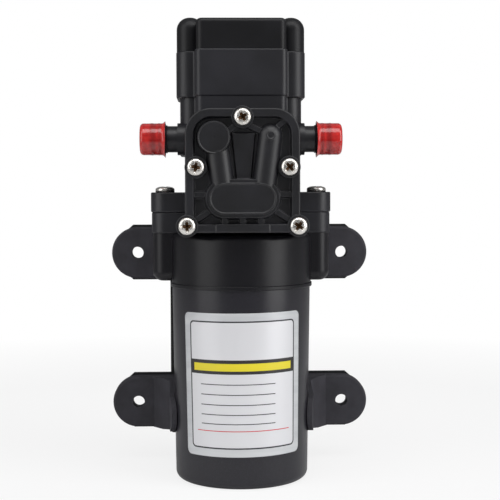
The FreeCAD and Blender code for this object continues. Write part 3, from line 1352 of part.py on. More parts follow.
def make_switch_cap():
    block = new_body("cap_block_body")
    half = block_half_width - 0.1
    front = block_front - 0.1
    back = block_back - 0.1
    block_top = top_height - top_dip
    drawing = from_above(block, "cap_block_outline", cap_base)
    drawing.outline([(-half, -front, block_corner), (half, -front, block_corner),
                     (half, back, block_corner), (-half, back, block_corner)])
    pad(block, "cap_block_pad", drawing, block_top)
    round_edges(block, "cap_block_round", top_edge, level_at(cap_base + block_top))
    pieces = [block]
    for side, label in ((-1, "left"), (1, "right")):
        lobe = new_body(f"cap_lobe_{label}_body")
        drawing = from_above(lobe, f"cap_lobe_{label}_outline", cap_base)
        near = block_half_width - lobe_inset
        far = lobe_half_width + skirt_step - 0.2
        low = -(lobe_front + skirt_step - 0.6)
        high = lobe_back + skirt_step - 0.6
        corners = [(side * near, low, lobe_edge), (side * far, low, lobe_corner),
                   (side * far, high, lobe_corner), (side * near, high, lobe_edge)]
        pad(lobe, f"cap_lobe_{label}_pad", drawing.outline(corners if side > 0 else corners[::-1]),
            top_height)
        round_edges(lobe, f"cap_lobe_{label}_round", lobe_edge - 0.1,
                    level_at(cap_base + top_height))
        pieces.append(lobe)
    solid = join("cap_solid", pieces)
    inner = half - skirt_wall
    tools = [block_of("cap_room", (-inner, inner), (-(front - skirt_wall), back - skirt_wall),
                      (cap_base - 1, cap_base + block_top - top_roof))]
    seat = overall_height - cap_screw_sink
    for index, (x, y) in enumerate(cap_screws):
        tools.append(rod_of(f"cap_sink_{index}", cap_screw_head + screw_gap, cap_screw_sink + 1,
                            (x, y, seat)))
        tools.append(rod_of(f"cap_through_{index}", cap_screw_radius + screw_gap, top_height,
                            (x, y, cap_base - 1)))
    keep(cut("switch_cap_item", solid, tools), "switch_cap")


def make_pressure_switch():
    disc_bottom = head_top - switch_disc_thickness
    keep(rod_of("switch_disc_item", switch_disc, switch_disc_thickness, (0, 0, disc_bottom)),
         "switch_diaphragm")
    ledge_top = switch_base + skirt_height - 0.6
    foot = rod_of("plunger_foot_disc", plunger_foot, plunger_foot_height, (0, 0, head_top + 0.02))
    tip = ledge_top - button_show - 0.02
    stem = rod_of("plunger_stem", plunger_radius, tip - head_top - 0.02, (0, 0, head_top + 0.02))
    keep(join("plunger_item", [foot, stem]), "switch_plunger")

    adjuster_bottom = switch_base + tower_height - adjuster_height
    adjuster = ring("adjuster_item", plunger_foot + plunger_gap - 0.02,
                    plunger_radius + plunger_gap, adjuster_bottom, adjuster_height)
    keep(adjuster, "pressure_adjuster")

    # A plain sleeve stands for the closely wound spring between foot and adjuster
    foot_top = head_top + 0.02 + plunger_foot_height
    coil = plunger_foot - 0.5
    keep(ring("spring_item", coil, coil - spring_wire, foot_top, adjuster_bottom - foot_top),
         "pressure_spring")

    half = switch_length / 2
    wide = switch_width / 2
    case = block_of("switch_case", (-half, half), (-wide, wide),
                    (ledge_top, ledge_top + switch_body_height))
    well = rod_of("button_well", button_radius + 0.1, 3, (0, 0, ledge_top))
    pin_holes = [
        rod_of(f"switch_hole_{index}", as_length(1.1), switch_width + 2,
               (side * (half - 5.1), -wide - 1, ledge_top + 3), "back")
        for index, side in enumerate((-1, 1))
    ]
    terminals = [
        block_of(f"terminal_{index}", (x - 0.3, x + 0.3), (wide, wide + terminal_length),
                 (ledge_top + 5, ledge_top + 8))
        for index, x in enumerate((-half + 2, as_length(1), half - 2))
    ]
    case = cut("switch_case_item", join("switch_case_solid", [case] + terminals), [well] + pin_holes)
    keep(case, "micro_switch")
    keep(rod_of("button_item", button_radius, button_show + 1.6, (0, 0, ledge_top - button_show)),
         "switch_button")

    wall_out = block_back + skirt_proud
    wall_in = wall_out - skirt_wall
    neck = rod_of("grommet_neck", grommet_radius, skirt_wall, (0, wall_in, grommet_height), "back")
    outer = cone_of("grommet_outer", grommet_radius + grommet_lip,
                    grommet_radius + grommet_lip - 0.7, grommet_lip_height,
                    (0, wall_out, grommet_height), "back")
    inner = rod_of("grommet_inner", grommet_radius + grommet_lip - 0.3, grommet_lip_height,
                   (0, wall_in - grommet_lip_height, grommet_height), "back")
    bore = rod_of("grommet_bore_rod", grommet_bore, skirt_wall + 2 * grommet_lip_height + 2,
                  (0, wall_in - grommet_lip_height - 1, grommet_height), "back")
    keep(cut("grommet_item", join("grommet_solid", [neck, outer, inner]), [bore]), "cable_grommet")


# Port caps

def make_port_caps():
    for side, label in ((-1, "left"), (1, "right")):
        body = new_body(f"port_cap_{label}_body")
        profile = Drawing(body, f"port_cap_{label}_profile", "XZ_Plane", (0, port_height, -port_back))
        inner = cap_radius - cap_wall
        end = cap_start + cap_length
        corners = [
            (side * cap_start, inner + cap_flare),
            (side * cap_start, cap_radius + cap_flare),
            (side * (cap_start + 0.7), cap_radius),
            (side * end, cap_radius, cap_wall + 0.4),
            (side * end, 0),
            (side * (end - cap_wall), 0),
            (side * (end - cap_wall), inner),
            (side * (cap_start + 0.7), inner),
        ]
        revolve(body, f"port_cap_{label}_turn", profile.outline(corners[::-1] if side > 0 else corners),
                "H_Axis")
        keep(body, f"port_cap_{label}")


# Base plate and feet

def make_base():
    body = new_body("plate_body")
    low, high = low_foot_height, high_foot_height
    reach = foot_radius + tab_proud
    right = [
        (plate_half_width, plate_bottom, foot_edge),
        (plate_half_width, low - reach),
        (tab_shoulder, low - reach),
        (tab_end, low - tab_nose), (tab_end, low + tab_nose),
        (tab_shoulder, low + reach), (plate_half_width, low + reach),
        (plate_half_width, high - reach), (tab_shoulder, high - reach),
        (tab_end, high - tab_nose), (tab_end, high + tab_nose),
        (tab_shoulder, high + reach), (plate_half_width, high + reach),
        (plate_half_width, plate_top, foot_edge),
    ]
    left = [(-corner[0],) + tuple(corner[1:]) for corner in reversed(right)]
    drawing = from_front(body, "plate_outline", -(plate_front + plate_thickness))
    drawing.outline(right + left)
    pad(body, "plate_pad", drawing, plate_thickness)
    holes = from_front(body, "plate_hole_outline", -plate_front)
    for side in (-1, 1):
        for height in (low, high):
            holes.circle(side * foot_place, height, mount_hole)
    pocket(body, "plate_holes", holes, plate_thickness)
    sinks = [
        cone_of(f"plate_sink_{index}", plate_screw_head + 0.05, plate_screw_radius + 0.05,
                plate_thickness, (side * plate_screw_place, plate_front + plate_thickness, high),
                "front")
        for index, side in enumerate((-1, 1))
    ]
    keep(cut("plate_item", body, sinks), "base_plate")

    for side, label in ((-1, "left"), (1, "right")):
        body = new_body(f"upper_foot_{label}_body")
        drawing = from_front(body, f"upper_foot_{label}_outline", -plate_front)
        corners = [
            (side * foot_inner, high - foot_radius),
            (side * (foot_place + foot_radius), high - foot_radius, foot_radius - 0.05),
            (side * (foot_place + foot_radius), high + foot_radius, foot_radius - 0.05),
            (side * foot_inner, high + foot_radius),
        ]
        drawing.outline(corners if side > 0 else corners[::-1])
        pad(body, f"upper_foot_{label}_pad", drawing, foot_thickness)
        round_edges(body, f"upper_foot_{label}_round", foot_edge,
                    facing_at(foot_thickness - plate_front))
        hole = from_front(body, f"upper_foot_{label}_hole_outline", foot_thickness - plate_front)
        hole.circle(side * foot_place, high, mount_hole)
        pocket(body, f"upper_foot_{label}_hole", hole, foot_thickness)
        keep(body, f"upper_foot_{label}")

    # Lower feet, wings and clip arms are one rubber moulding that the can snaps into
    body = new_body("cradle_body")
    drawing = from_front(body, "cradle_feet_outline", -plate_front)
    far = foot_place + foot_radius
    drawing.outline([
        (-far, low - foot_radius, foot_radius - 0.05), (far, low - foot_radius, foot_radius - 0.05),
        (far, low + foot_radius, foot_radius - 0.05), (-far, low + foot_radius, foot_radius - 0.05),
    ])
    pad(body, "cradle_feet", drawing, foot_thickness)
    round_edges(body, "cradle_round", foot_edge, facing_at(foot_thickness - plate_front))
    bottom = low - foot_radius
    height = 2 * foot_radius
    saddle = can_radius - can_draft * (1 - (low + foot_radius) / can_height) + saddle_gap
    outer = saddle + saddle_wall
    plan = new_body("wing_body")
    drawing = from_above(plan, "wing_outline", bottom)
    crease = plate_front - foot_thickness + 0.5
    drawing.outline([
        (-outer, 2), (outer, 2), (outer + 0.3, wing_front, foot_thickness),
        (wing_out, crease), (wing_out, plate_front - 1),
        (-wing_out, plate_front - 1), (-wing_out, crease),
        (-outer - 0.3, wing_front, foot_thickness),
    ])
    pad(plan, "wing_pad", drawing, height)
    # Seen from the side, the arms grow lower towards their front ends
    side_shape = new_body("arm_body")
    drawing = Drawing(side_shape, "arm_outline", "YZ_Plane", (0, 0, -wing_out - 1))
    drawing.outline([
        (-arm_reach, low - arm_nose, arm_nose - 0.1), (3, low - arm_half_height),
        (wing_front + 4, bottom), (plate_front, bottom),
        (plate_front, bottom + height), (wing_front + 4, bottom + height),
        (3, low + arm_half_height), (-arm_reach, low + arm_nose, arm_nose - 0.1),
    ])
    pad(side_shape, "arm_pad", drawing, 2 * wing_out + 2)
    arms = doc.addObject("Part::Common", "arm_item")
    arms.Base = join("arm_solid", [plan, rod_of("arm_disc", outer, height, (0, 0, bottom))])
    arms.Tool = side_shape
    solid = join("cradle_solid", [body, arms])
    tools = [rod_of("can_room", saddle, height + 2, (0, 0, bottom - 1))]
    for index, side in enumerate((-1, 1)):
        tools.append(rod_of(f"cradle_hole_{index}", mount_hole, foot_thickness + 2,
                            (side * foot_place, plate_front + 1, low), "front"))
    keep(cut("cradle_item", solid, tools), "lower_foot_cradle")


make_can()
make_motor_inside()
make_bell()
make_drive_housing()
make_head()
make_cover()
make_gasket()
make_valves()
make_screws()
make_switch_housing()
make_switch_cap()
make_pressure_switch()
make_port_caps()
make_base()
doc.recompute()

# Nothing is written unless every object is sound
for item in doc.Objects:
    if "Invalid" in item.State or "Error" in item.State:
        raise RuntimeError(f"{item.Name} failed: {item.State}")
for item in parts:
    if item.Shape.isNull() or not item.Shape.isValid():
        raise RuntimeError(f"{item.Label} has no sound shape")

os.makedirs("parts", exist_ok=True)
for item in parts:
    item.Shape.exportStep(f"parts/{item.Label}.step")
    print(f"{item.Label}: {len(item.Shape.Solids)} solid, {item.Shape.Volume:.1f} mm3")
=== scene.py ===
"""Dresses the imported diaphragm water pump: cover, screws, foil label, vinyl caps and finishes.

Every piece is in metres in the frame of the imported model: X to the right, Y to the back, Z up,
with the origin at the centre of the motor's flat end. The pump's sizes below are in millimetres.
Those of the stage, the lights and the camera are in metres.
"""
import json
import math

import bmesh
import bpy
import numpy as np
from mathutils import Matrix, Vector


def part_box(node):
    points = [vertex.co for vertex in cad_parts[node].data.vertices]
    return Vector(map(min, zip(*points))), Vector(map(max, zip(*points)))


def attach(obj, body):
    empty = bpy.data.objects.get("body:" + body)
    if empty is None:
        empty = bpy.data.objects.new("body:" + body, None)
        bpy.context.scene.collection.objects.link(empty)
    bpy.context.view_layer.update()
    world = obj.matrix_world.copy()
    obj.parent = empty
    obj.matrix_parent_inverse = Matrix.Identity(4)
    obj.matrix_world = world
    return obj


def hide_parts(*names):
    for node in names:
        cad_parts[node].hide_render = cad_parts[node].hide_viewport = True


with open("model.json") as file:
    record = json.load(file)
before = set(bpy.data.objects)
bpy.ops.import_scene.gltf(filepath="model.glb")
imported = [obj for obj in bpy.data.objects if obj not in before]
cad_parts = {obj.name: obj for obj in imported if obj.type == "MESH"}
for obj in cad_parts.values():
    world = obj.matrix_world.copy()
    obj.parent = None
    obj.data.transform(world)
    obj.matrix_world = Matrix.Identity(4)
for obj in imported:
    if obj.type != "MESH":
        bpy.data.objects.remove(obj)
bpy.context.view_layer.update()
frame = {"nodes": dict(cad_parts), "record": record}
nodes = frame["nodes"]
MM = 0.001
WELD_DISTANCE = 1e-6
PRINT_MAP = "print"


def span(node):
    """Lowest and highest corner of a CAD node, in millimetres."""
    low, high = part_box(node)
    return np.array(low) / MM, np.array(high) / MM


# Meshes from grids

def points_at(x, y, z):
    """Points from their coordinates, which are spread to one shape."""
    return np.stack(np.broadcast_arrays(x, y, z), axis=-1)


def grid(points, wrap=False):
    """Quads over points (rows, columns, 3); wrap joins the last column to the first."""
    rows, columns = points.shape[:2]
    index = np.arange(rows * columns).reshape(rows, columns)
    if wrap:
        index = np.concatenate([index, index[:, :1]], axis=1)
    faces = np.stack(
        [index[:-1, :-1], index[:-1, 1:], index[1:, 1:], index[1:, :-1]], axis=-1)
    return points.reshape(-1, 3), faces.reshape(-1, 4)


def piece(name, grids, material, body, replaced=(), uv=None):
    """One mesh from several grids given in millimetres, welded at its seams and poles."""
    points, faces, start = [], [], 0
    for corners, quads in grids:
        points.append(corners)
        faces.append(quads + start)
        start += len(corners)
    points = np.concatenate(points) * MM
    faces = np.concatenate(faces)
    mesh = bpy.data.meshes.new(name)
    mesh.vertices.add(len(points))
    mesh.vertices.foreach_set("co", points.astype(np.float32).ravel())
    mesh.loops.add(faces.size)
    mesh.loops.foreach_set("vertex_index", faces.astype(np.int32).ravel())
    mesh.polygons.add(len(faces))
    mesh.polygons.foreach_set("loop_start", np.arange(0, faces.size, 4, dtype=np.int32))
    mesh.update(calc_edges=True)
    if uv is not None:
        layer = mesh.uv_layers.new(name=PRINT_MAP)
        layer.data.foreach_set("uv", uv[faces.ravel()].astype(np.float32).ravel())
    welded = bmesh.new()
    welded.from_mesh(mesh)
    bmesh.ops.remove_doubles(welded, verts=welded.verts, dist=WELD_DISTANCE)
    bmesh.ops.recalc_face_normals(welded, faces=welded.faces)
    for face in welded.faces:
        face.smooth = True
    welded.to_mesh(mesh)
    welded.free()
    mesh.materials.append(material)
    item = bpy.data.objects.new(name, mesh)
    bpy.context.scene.collection.objects.link(item)
    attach(item, body)
    if replaced:
        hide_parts(*replaced)


def turned(profile, sides):
    """A profile of (radius, height) turned about +Z: x = r cos a, y = r sin a."""
    profile = np.asarray(profile, float)
    angle = np.linspace(0, 2 * math.pi, sides, endpoint=False)
    radius, height = profile[:, :1], profile[:, 1:]
    return points_at(radius * np.cos(angle), radius * np.sin(angle), height)


def rounded(profile, radius, steps=5):
    """The profile with each inner corner as a parabola: (1-t)^2 a + 2 t (1-t) b + t^2 c.

    It starts and ends at the radius from the corner b, or at 0.45 of a shorter side.
    """
    profile = [np.array(point, float) for point in profile]
    result = [profile[0]]
    for before, here, after in zip(profile, profile[1:], profile[2:]):
        back, ahead = before - here, after - here
        reach = min(radius, 0.45 * np.linalg.norm(back), 0.45 * np.linalg.norm(ahead))
        first = here + back / np.linalg.norm(back) * reach
        last = here + ahead / np.linalg.norm(ahead) * reach
        for t in np.linspace(0, 1, steps):
            result.append((1 - t) ** 2 * first + 2 * t * (1 - t) * here + t ** 2 * last)
    return np.array(result + [profile[-1]])


def ease(t):
    """A smooth step from 0 to 1: s(t) = t^2 (3 - 2 t), with t held between 0 and 1."""
    t = np.clip(t, 0, 1)
    return t * t * (3 - 2 * t)


def ring(distance, radius, width):
    """A soft bead at a radius round a spot: exp(-((d - r) / w)^2)."""
    return np.exp(-((distance - radius) / width) ** 2)


# Materials

def linear(code):
    """A linear colour from an sRGB hex value such as 2b2b30."""
    values = [int(code[index:index + 2], 16) / 255 for index in (0, 2, 4)]
    return tuple(v / 12.92 if v <= 0.04045 else ((v + 0.055) / 1.055) ** 2.4
                 for v in values) + (1.0,)


def add(tree, kind, inputs=(), **settings):
    """A node with its settings; an input takes a value or the output that is linked to it."""
    node = tree.nodes.new(kind)
    for name, value in settings.items():
        setattr(node, name, value)
    for name, value in dict(inputs).items():
        if isinstance(value, bpy.types.NodeSocket):
            tree.links.new(value, node.inputs[name])
        else:
            node.inputs[name].default_value = value
    return node


def finish(name):
    """An empty material with its tree, its output and its object coordinates."""
    material = bpy.data.materials.new(name)
    material.use_nodes = True
    tree = material.node_tree
    tree.nodes.clear()
    output = add(tree, "ShaderNodeOutputMaterial")
    place = add(tree, "ShaderNodeTexCoord").outputs["Object"]
    return material, tree, output, place


def maths(tree, operation, *values):
    """The result of an operation on values or outputs."""
    node = add(tree, "ShaderNodeMath", dict(enumerate(values)), operation=operation)
    return node.outputs["Value"]


def axes(tree, vector):
    """The X, Y and Z outputs of a vector."""
    return add(tree, "ShaderNodeSeparateXYZ", {"Vector": vector}).outputs


def printed_spot(tree):
    """The X and Y outputs of the piece's own UV."""
    return axes(tree, add(tree, "ShaderNodeUVMap", uv_map=PRINT_MAP).outputs["UV"])


def speckle(tree, place, size_mm, detail=3.0):
    """Noise whose features are about size_mm across."""
    return add(tree, "ShaderNodeTexNoise", {
        "Vector": place, "Scale": 1.0 / (size_mm * MM), "Detail": detail, "Roughness": 0.55,
    }).outputs["Fac"]


def remap(tree, value, low, high, start=0.0, end=1.0):
    """The value carried from start..end to low..high."""
    return add(tree, "ShaderNodeMapRange", {
        "Value": value, "From Min": start, "From Max": end, "To Min": low, "To Max": high,
    }).outputs["Result"]


def blend_colour(tree, factor, first, second):
    """The first colour, turning into the second as the factor goes from 0 to 1."""
    node = add(tree, "ShaderNodeMix", {"Factor": factor, 6: first, 7: second}, data_type="RGBA")
    return node.outputs[2]


def mottled(tree, noise, start, end, dark, light):
    """Two hex colours mixed by the part of a noise that lies from start to end."""
    share = remap(tree, noise, 0.0, 1.0, start, end)
    return blend_colour(tree, share, linear(dark), linear(light))


def relief(tree, height, depth_mm):
    """A bump whose height stands for depth_mm."""
    return add(tree, "ShaderNodeBump", {
        "Height": height, "Distance": depth_mm * MM, "Strength": 1.0}).outputs["Normal"]


def surface(tree, output, inputs):
    """A Principled shader with these inputs, as the material's surface."""
    shader = add(tree, "ShaderNodeBsdfPrincipled", inputs)
    tree.links.new(shader.outputs["BSDF"], output.inputs["Surface"])


def moulded_abs(name, dark, light, roughness, grain_height=0.012, gloss=0.5):
    """Injection-moulded black ABS: a fine spark-eroded grain that softens every highlight."""
    material, tree, output, place = finish(name)
    grain = speckle(tree, place, size_mm=0.5, detail=4.0)
    flow = speckle(tree, place, size_mm=14.0, detail=2.0)
    surface(tree, output, {
        "Base Color": mottled(tree, flow, 0.35, 0.65, dark, light),
        "Roughness": remap(tree, flow, roughness - 0.03, roughness + 0.04),
        "Normal": relief(tree, grain, grain_height), "IOR": 1.53, "Specular IOR Level": gloss,
    })
    return material


def sprayed_enamel(name, dark, light, roughness, peel_mm=1.6, peel_height=0.01, gloss=0.5):
    """Black stoving enamel on drawn steel: smooth, with a faint orange peel."""
    material, tree, output, place = finish(name)
    peel = speckle(tree, place, peel_mm, detail=2.0)
    dust = speckle(tree, place, size_mm=0.35, detail=2.0)
    surface(tree, output, {
        "Base Color": mottled(tree, dust, 0.45, 0.7, dark, light),
        "Roughness": remap(tree, peel, roughness - 0.03, roughness + 0.03),
        "Normal": relief(tree, peel, peel_height), "IOR": 1.5, "Specular IOR Level": gloss,
    })
    return material


def cured_rubber(name, dark, light, roughness=0.72):
    """Moulded rubber: dull, with a bloom that lifts the black in soft patches."""
    material, tree, output, place = finish(name)
    bloom = speckle(tree, place, size_mm=6.0)
    grain = speckle(tree, place, size_mm=0.4)
    surface(tree, output, {
        "Base Color": mottled(tree, bloom, 0.35, 0.7, dark, light),
        "Roughness": remap(tree, bloom, roughness - 0.05, roughness + 0.08),
        "Normal": relief(tree, grain, depth_mm=0.02), "IOR": 1.5, "Specular IOR Level": 0.35,
    })
    return material


def plated_metal(name, dark, light, roughness, scratch_mm=0.25, height=0.004, recess=None):
    """Plated or ground metal: bright, with fine handling marks in its roughness.

    A recess colour paints shade into it, darkest where the piece's own UV says that a spot lies
    deep in the cross.
    """
    material, tree, output, place = finish(name)
    marks = speckle(tree, place, scratch_mm, detail=4.0)
    cloud = speckle(tree, place, size_mm=2.5, detail=2.0)
    colour = mottled(tree, cloud, 0.3, 0.7, dark, light)
    if recess:
        # Painted shade: the dark brown recess colour takes over as the spot lies deeper in the
        # cross recess
        deep = remap(tree, printed_spot(tree)["X"], 0.0, 1.0, start=0.1, end=0.6)
        colour = blend_colour(tree, deep, colour, linear(recess))
    surface(tree, output, {
        "Base Color": colour, "Metallic": 1.0, "Normal": relief(tree, marks, height),
        "Roughness": remap(tree, marks, roughness - 0.04, roughness + 0.08),
    })
    return material


def plain_solid(name, dark, light, roughness, grain_mm=0.6, metallic=0.0):
    """A working material inside the pump, mottled at the size of its own grain."""
    material, tree, output, place = finish(name)
    grain = speckle(tree, place, grain_mm, detail=4.0)
    surface(tree, output, {
        "Base Color": blend_colour(tree, grain, linear(dark), linear(light)),
        "Metallic": metallic, "Normal": relief(tree, grain, depth_mm=0.01),
        "Roughness": remap(tree, grain, roughness - 0.05, roughness + 0.05),
    })
    return material


# Painted shade where the barbs would show through the caps: distance from the middle, half width,
# share of the dark red
BARB_SHADE_BANDS = ((30.8, 1.1, 0.6), (28.4, 0.7, 0.4))


def dipped_vinyl(name):
    """Dip-moulded soft PVC: a glossy red that lets some light through its thin wall, with bands
    of painted shade where the barbs inside would show through.
    """
    material, tree, output, place = finish(name)
    cloud = speckle(tree, place, size_mm=2.2)
    ripple = speckle(tree, place, size_mm=1.1, detail=2.0)
    colour = mottled(tree, cloud, 0.3, 0.7, "b81a1a", "dd302c")
    out = maths(tree, "ABSOLUTE", axes(tree, place)["X"])
    # Each band paints the dark red shade of a barb seen through the wall
    for middle, half, share in BARB_SHADE_BANDS:
        away = maths(tree, "ABSOLUTE", maths(tree, "SUBTRACT", out, middle * MM))
        band = remap(tree, away, share, 0.0, 0.5 * half * MM, 1.3 * half * MM)
        colour = blend_colour(tree, band, colour, linear("7d0a0c"))
    surface(tree, output, {
        "Base Color": colour, "Roughness": 0.2, "Normal": relief(tree, ripple, depth_mm=0.02),
        "IOR": 1.5, "Specular IOR Level": 0.45, "Coat Weight": 0.6, "Coat Roughness": 0.12,
        "Transmission Weight": 0.1,
    })
    return material


LABEL_WIDTH, LABEL_HEIGHT = 45.0, 49.4
# Left, right, low and high edge of what is printed, from the label's lower left corner
DARK_BAND = (3.2, 41.8, 28.5, 33.4)
YELLOW_BAR = (4.4, 40.6, 29.6, 32.2)
RED_RULE = (5.4, 39.8, 8.75, 9.05)
RULE_LEFT, RULE_RIGHT, RULE_WIDTH = 7.2, 34.0, 0.3
RULE_HEIGHTS = (24.8, 21.3, 17.8, 14.4, 11.2)


def printed_foil(name):
    """Satin foil with a printed frame, a dark band with a yellow bar and plain rules."""
    material, tree, output, place = finish(name)
    spot = printed_spot(tree)
    across, up = (spot["X"], LABEL_WIDTH), (spot["Y"], LABEL_HEIGHT)

    def patch(left, right, low, high):
        """A rectangle in millimetres from the label's lower left corner."""
        sides = []
        for (value, size), first, last in ((across, left, right), (up, low, high)):
            middle, half = (first + last) / 2 / size, (last - first) / 2 / size
            sides.append(maths(tree, "COMPARE", value, middle, half))
        return maths(tree, "MULTIPLY", *sides)

    def framed(inset, corner):
        """The inside of a rounded rectangle: length of max(q, 0) below r, q = |p| - half + r."""
        squares = []
        for value, size in (across, up):
            centred = maths(tree, "MULTIPLY", maths(tree, "SUBTRACT", value, 0.5), size)
            past = maths(tree, "SUBTRACT", maths(tree, "ABSOLUTE", centred),
                         size / 2 - inset - corner)
            squares.append(maths(tree, "POWER", maths(tree, "MAXIMUM", past, 0.0), 2.0))
        return maths(tree, "LESS_THAN", maths(tree, "ADD", *squares), corner ** 2)

    # The rolling of the foil shows as a faint cloud that is long in X
    streak_place = add(tree, "ShaderNodeMapping", {
        "Vector": place, "Scale": (30.0, 30.0, 400.0)}).outputs["Vector"]
    streaks = add(tree, "ShaderNodeTexNoise", {
        "Vector": streak_place, "Scale": 1.0, "Detail": 2.0}).outputs["Fac"]
    inside = framed(inset=3.2, corner=1.2)
    ink = maths(tree, "SUBTRACT", framed(inset=2.7, corner=1.6), inside)
    for low in RULE_HEIGHTS:
        rule = patch(RULE_LEFT, RULE_RIGHT, low, low + RULE_WIDTH)
        ink = maths(tree, "MAXIMUM", ink, rule)
    band = maths(tree, "MULTIPLY", patch(*DARK_BAND), inside)
    colour = mottled(tree, streaks, 0.35, 0.65, "c5c7ca", "d2d4d6")
    for mask, code in ((inside, "e1e1e4"), (ink, "28282c"), (band, "2c2a2b"),
                       (patch(*YELLOW_BAR), "e6d62e"), (patch(*RED_RULE), "cf3a40")):
        colour = blend_colour(tree, mask, colour, linear(code))
    surface(tree, output, {
        "Base Color": colour, "Roughness": remap(tree, streaks, 0.34, 0.42),
        "Metallic": remap(tree, maths(tree, "MAXIMUM", ink, band), 0.2, 0.0),
    })
    return material


can_enamel = sprayed_enamel("can_enamel", "1b1a20", "26252c", 0.3)
bell_enamel = sprayed_enamel("bell_enamel", "0d0c11", "141318", 0.36,
                             peel_mm=0.9, peel_height=0.015, gloss=0.36)
head_abs = moulded_abs("head_abs", "131318", "1b1b21", 0.42)
cover_abs = moulded_abs("cover_abs", "121215", "1a1a1f", 0.42)
skirt_abs = moulded_abs("skirt_abs", "141419", "1c1c22", 0.44)
cap_abs = moulded_abs("cap_abs", "0a0a0d", "101014", 0.44, grain_height=0.006, gloss=0.3)
feet_rubber = cured_rubber("feet_rubber", "302f34", "3b3a40")
plate_enamel = sprayed_enamel("plate_enamel", "141416", "1d1d20", 0.5)
# The recess colour 3a2a1c is painted shade, deepening towards the bottom of each cross recess
screw_nickel = plated_metal("screw_nickel", "d2cfc9", "eeebe6", 0.24,
                            scratch_mm=0.5, height=0.001, recess="3a2a1c")
port_vinyl = dipped_vinyl("port_vinyl")
label_foil = printed_foil("label_foil")
seal_rubber = cured_rubber("seal_rubber", "141414", "222223", 0.6)
valve_rubber = cured_rubber("valve_rubber", "4a4743", "6b6862", 0.55)
nylon = plain_solid("nylon", "c9c5b8", "dcd8cc", 0.45)
acetal = plain_solid("acetal", "d5d1c6", "e4e1d8", 0.38)
ground_steel = plated_metal("ground_steel", "8c8c8e", "b0b0b2", 0.3, scratch_mm=0.15)
laminated_steel = plated_metal("laminated_steel", "55565a", "77787b", 0.45, scratch_mm=0.5)
enamelled_copper = plain_solid("enamelled_copper", "8a3f1c", "b8602f", 0.35,
                               grain_mm=0.45, metallic=0.8)
commutator_copper = plain_solid("commutator_copper", "a85a34", "c8794d", 0.35,
                                grain_mm=0.3, metallic=1.0)
graphite = plain_solid("graphite", "1f1f20", "323234", 0.5, grain_mm=0.2)
ferrite = plain_solid("ferrite", "262628", "38383b", 0.6, grain_mm=0.3)
sintered_bronze = plain_solid("sintered_bronze", "8a6433", "b08a4e", 0.45,
                              grain_mm=0.25, metallic=0.9)
paper_laminate = plain_solid("paper_laminate", "5d3b1c", "7a5229", 0.55, grain_mm=0.8)

FINISH_OF_SLOT = {
    "can_paint": can_enamel, "bell_paint": bell_enamel, "head_plastic": head_abs,
    "cover_plastic": cover_abs, "cap_plastic": cap_abs, "screw_nickel": screw_nickel,
    "plate_steel": plate_enamel, "foot_rubber": feet_rubber, "port_vinyl": port_vinyl,
    "seal_rubber": seal_rubber, "valve_rubber": valve_rubber, "valve_plastic": nylon,
    "rod_plastic": acetal, "shaft_steel": ground_steel, "core_steel": laminated_steel,
    "winding_copper": enamelled_copper, "commutator_copper": commutator_copper,
    "carbon": graphite, "magnet_ferrite": ferrite, "bearing_bronze": sintered_bronze,
    "card_board": paper_laminate, "switch_plastic": seal_rubber, "plunger_plastic": acetal,
}


def dress_nodes():
    """Every CAD node gets the finish of its own slot, but the switch's skirt has its own."""
    for entry in frame["record"]["subparts"]:
        item = nodes[entry["node"]]
        item.data.materials.clear()
        item.data.materials.append(FINISH_OF_SLOT[entry["material_slot"]])
    nodes["switch_housing"].data.materials[0] = skirt_abs


# Front cover: spots are (x, z), and heights stand out from its back towards the front

COVER_BACK = -25.0
COVER_MIDDLE_Z = 109.2
HALF_WIDTH = 19.2
COVER_LOW, COVER_HIGH = 88.5, 130.0
TOP_CORNER, LOW_CORNER = 8.7, 1.2
FLOOR, RIM, RIM_WIDTH, EDGE_RADIUS = 2.2, 4.4, 3.0, 0.55
SCREWS = np.array([(0, 127.05), (-15.6, 110.4), (15.6, 110.4), (-18.6, 90.8), (18.6, 90.8)])
COLLAR = [(0, 0), (3.75, 0), (3.75, 4.55), (2.7, 4.55), (0, 4.45)]
# Slanted and level ribs, each from spot to spot, with width and height
RIBS = (
    ((-2.0, 124.4), (-6.2, 121.6), 2.1, 3.6), ((2.0, 124.4), (7.8, 121.6), 2.1, 3.6),
    ((10.6, 122.8), (14.9, 126.6), 2.0, 3.5),
    ((-12.0, 101.3), (-17.0, 101.3), 2.2, 3.3), ((12.0, 101.3), (17.0, 101.3), 2.2, 3.3),
    ((-9.6, 96.6), (-16.0, 92.6), 2.1, 3.6), ((9.6, 96.6), (16.0, 92.6), 2.1, 3.6),
    ((-9.2, 110.0), (-13.0, 110.0), 2.0, 3.0), ((9.2, 110.0), (13.0, 110.0), 2.0, 3.0),
)
UPRIGHT_RIBS = (-6.0, 0.0, 6.0)
POCKET_FLOOR = 0.6
LEFT_TUBE = ((-8.1, 114.7), (-6.7, 104.0))
RIGHT_TUBE = ((9.3, 120.8), (7.2, 104.0))
TUBE_HALF_WIDTH, TUBE_FOOT, TUBE_ROUNDNESS = 3.9, 2.9, 0.85
ROUND_CHAMBER = (-9.55, 120.2)
VALVE_CHAMBER = ((-5.95, 99.9), (5.95, 99.9))


def outline(x, z, inset=0.0):
    """Signed distance to the cover's outline drawn in by inset: |max(q, 0)| + min(max(q), 0) - r.

    q is how far a spot lies past the rectangle drawn in further by the corner's radius r.
    """
    low, high = COVER_LOW + inset, COVER_HIGH - inset
    middle = (low + high) / 2
    radius = np.where(z > middle, TOP_CORNER - inset, LOW_CORNER)
    qx = np.abs(x) - (HALF_WIDTH - inset) + radius
    qz = np.abs(z - middle) - (high - low) / 2 + radius
    outside = np.hypot(np.maximum(qx, 0), np.maximum(qz, 0))
    return outside + np.minimum(np.maximum(qx, qz), 0) - radius


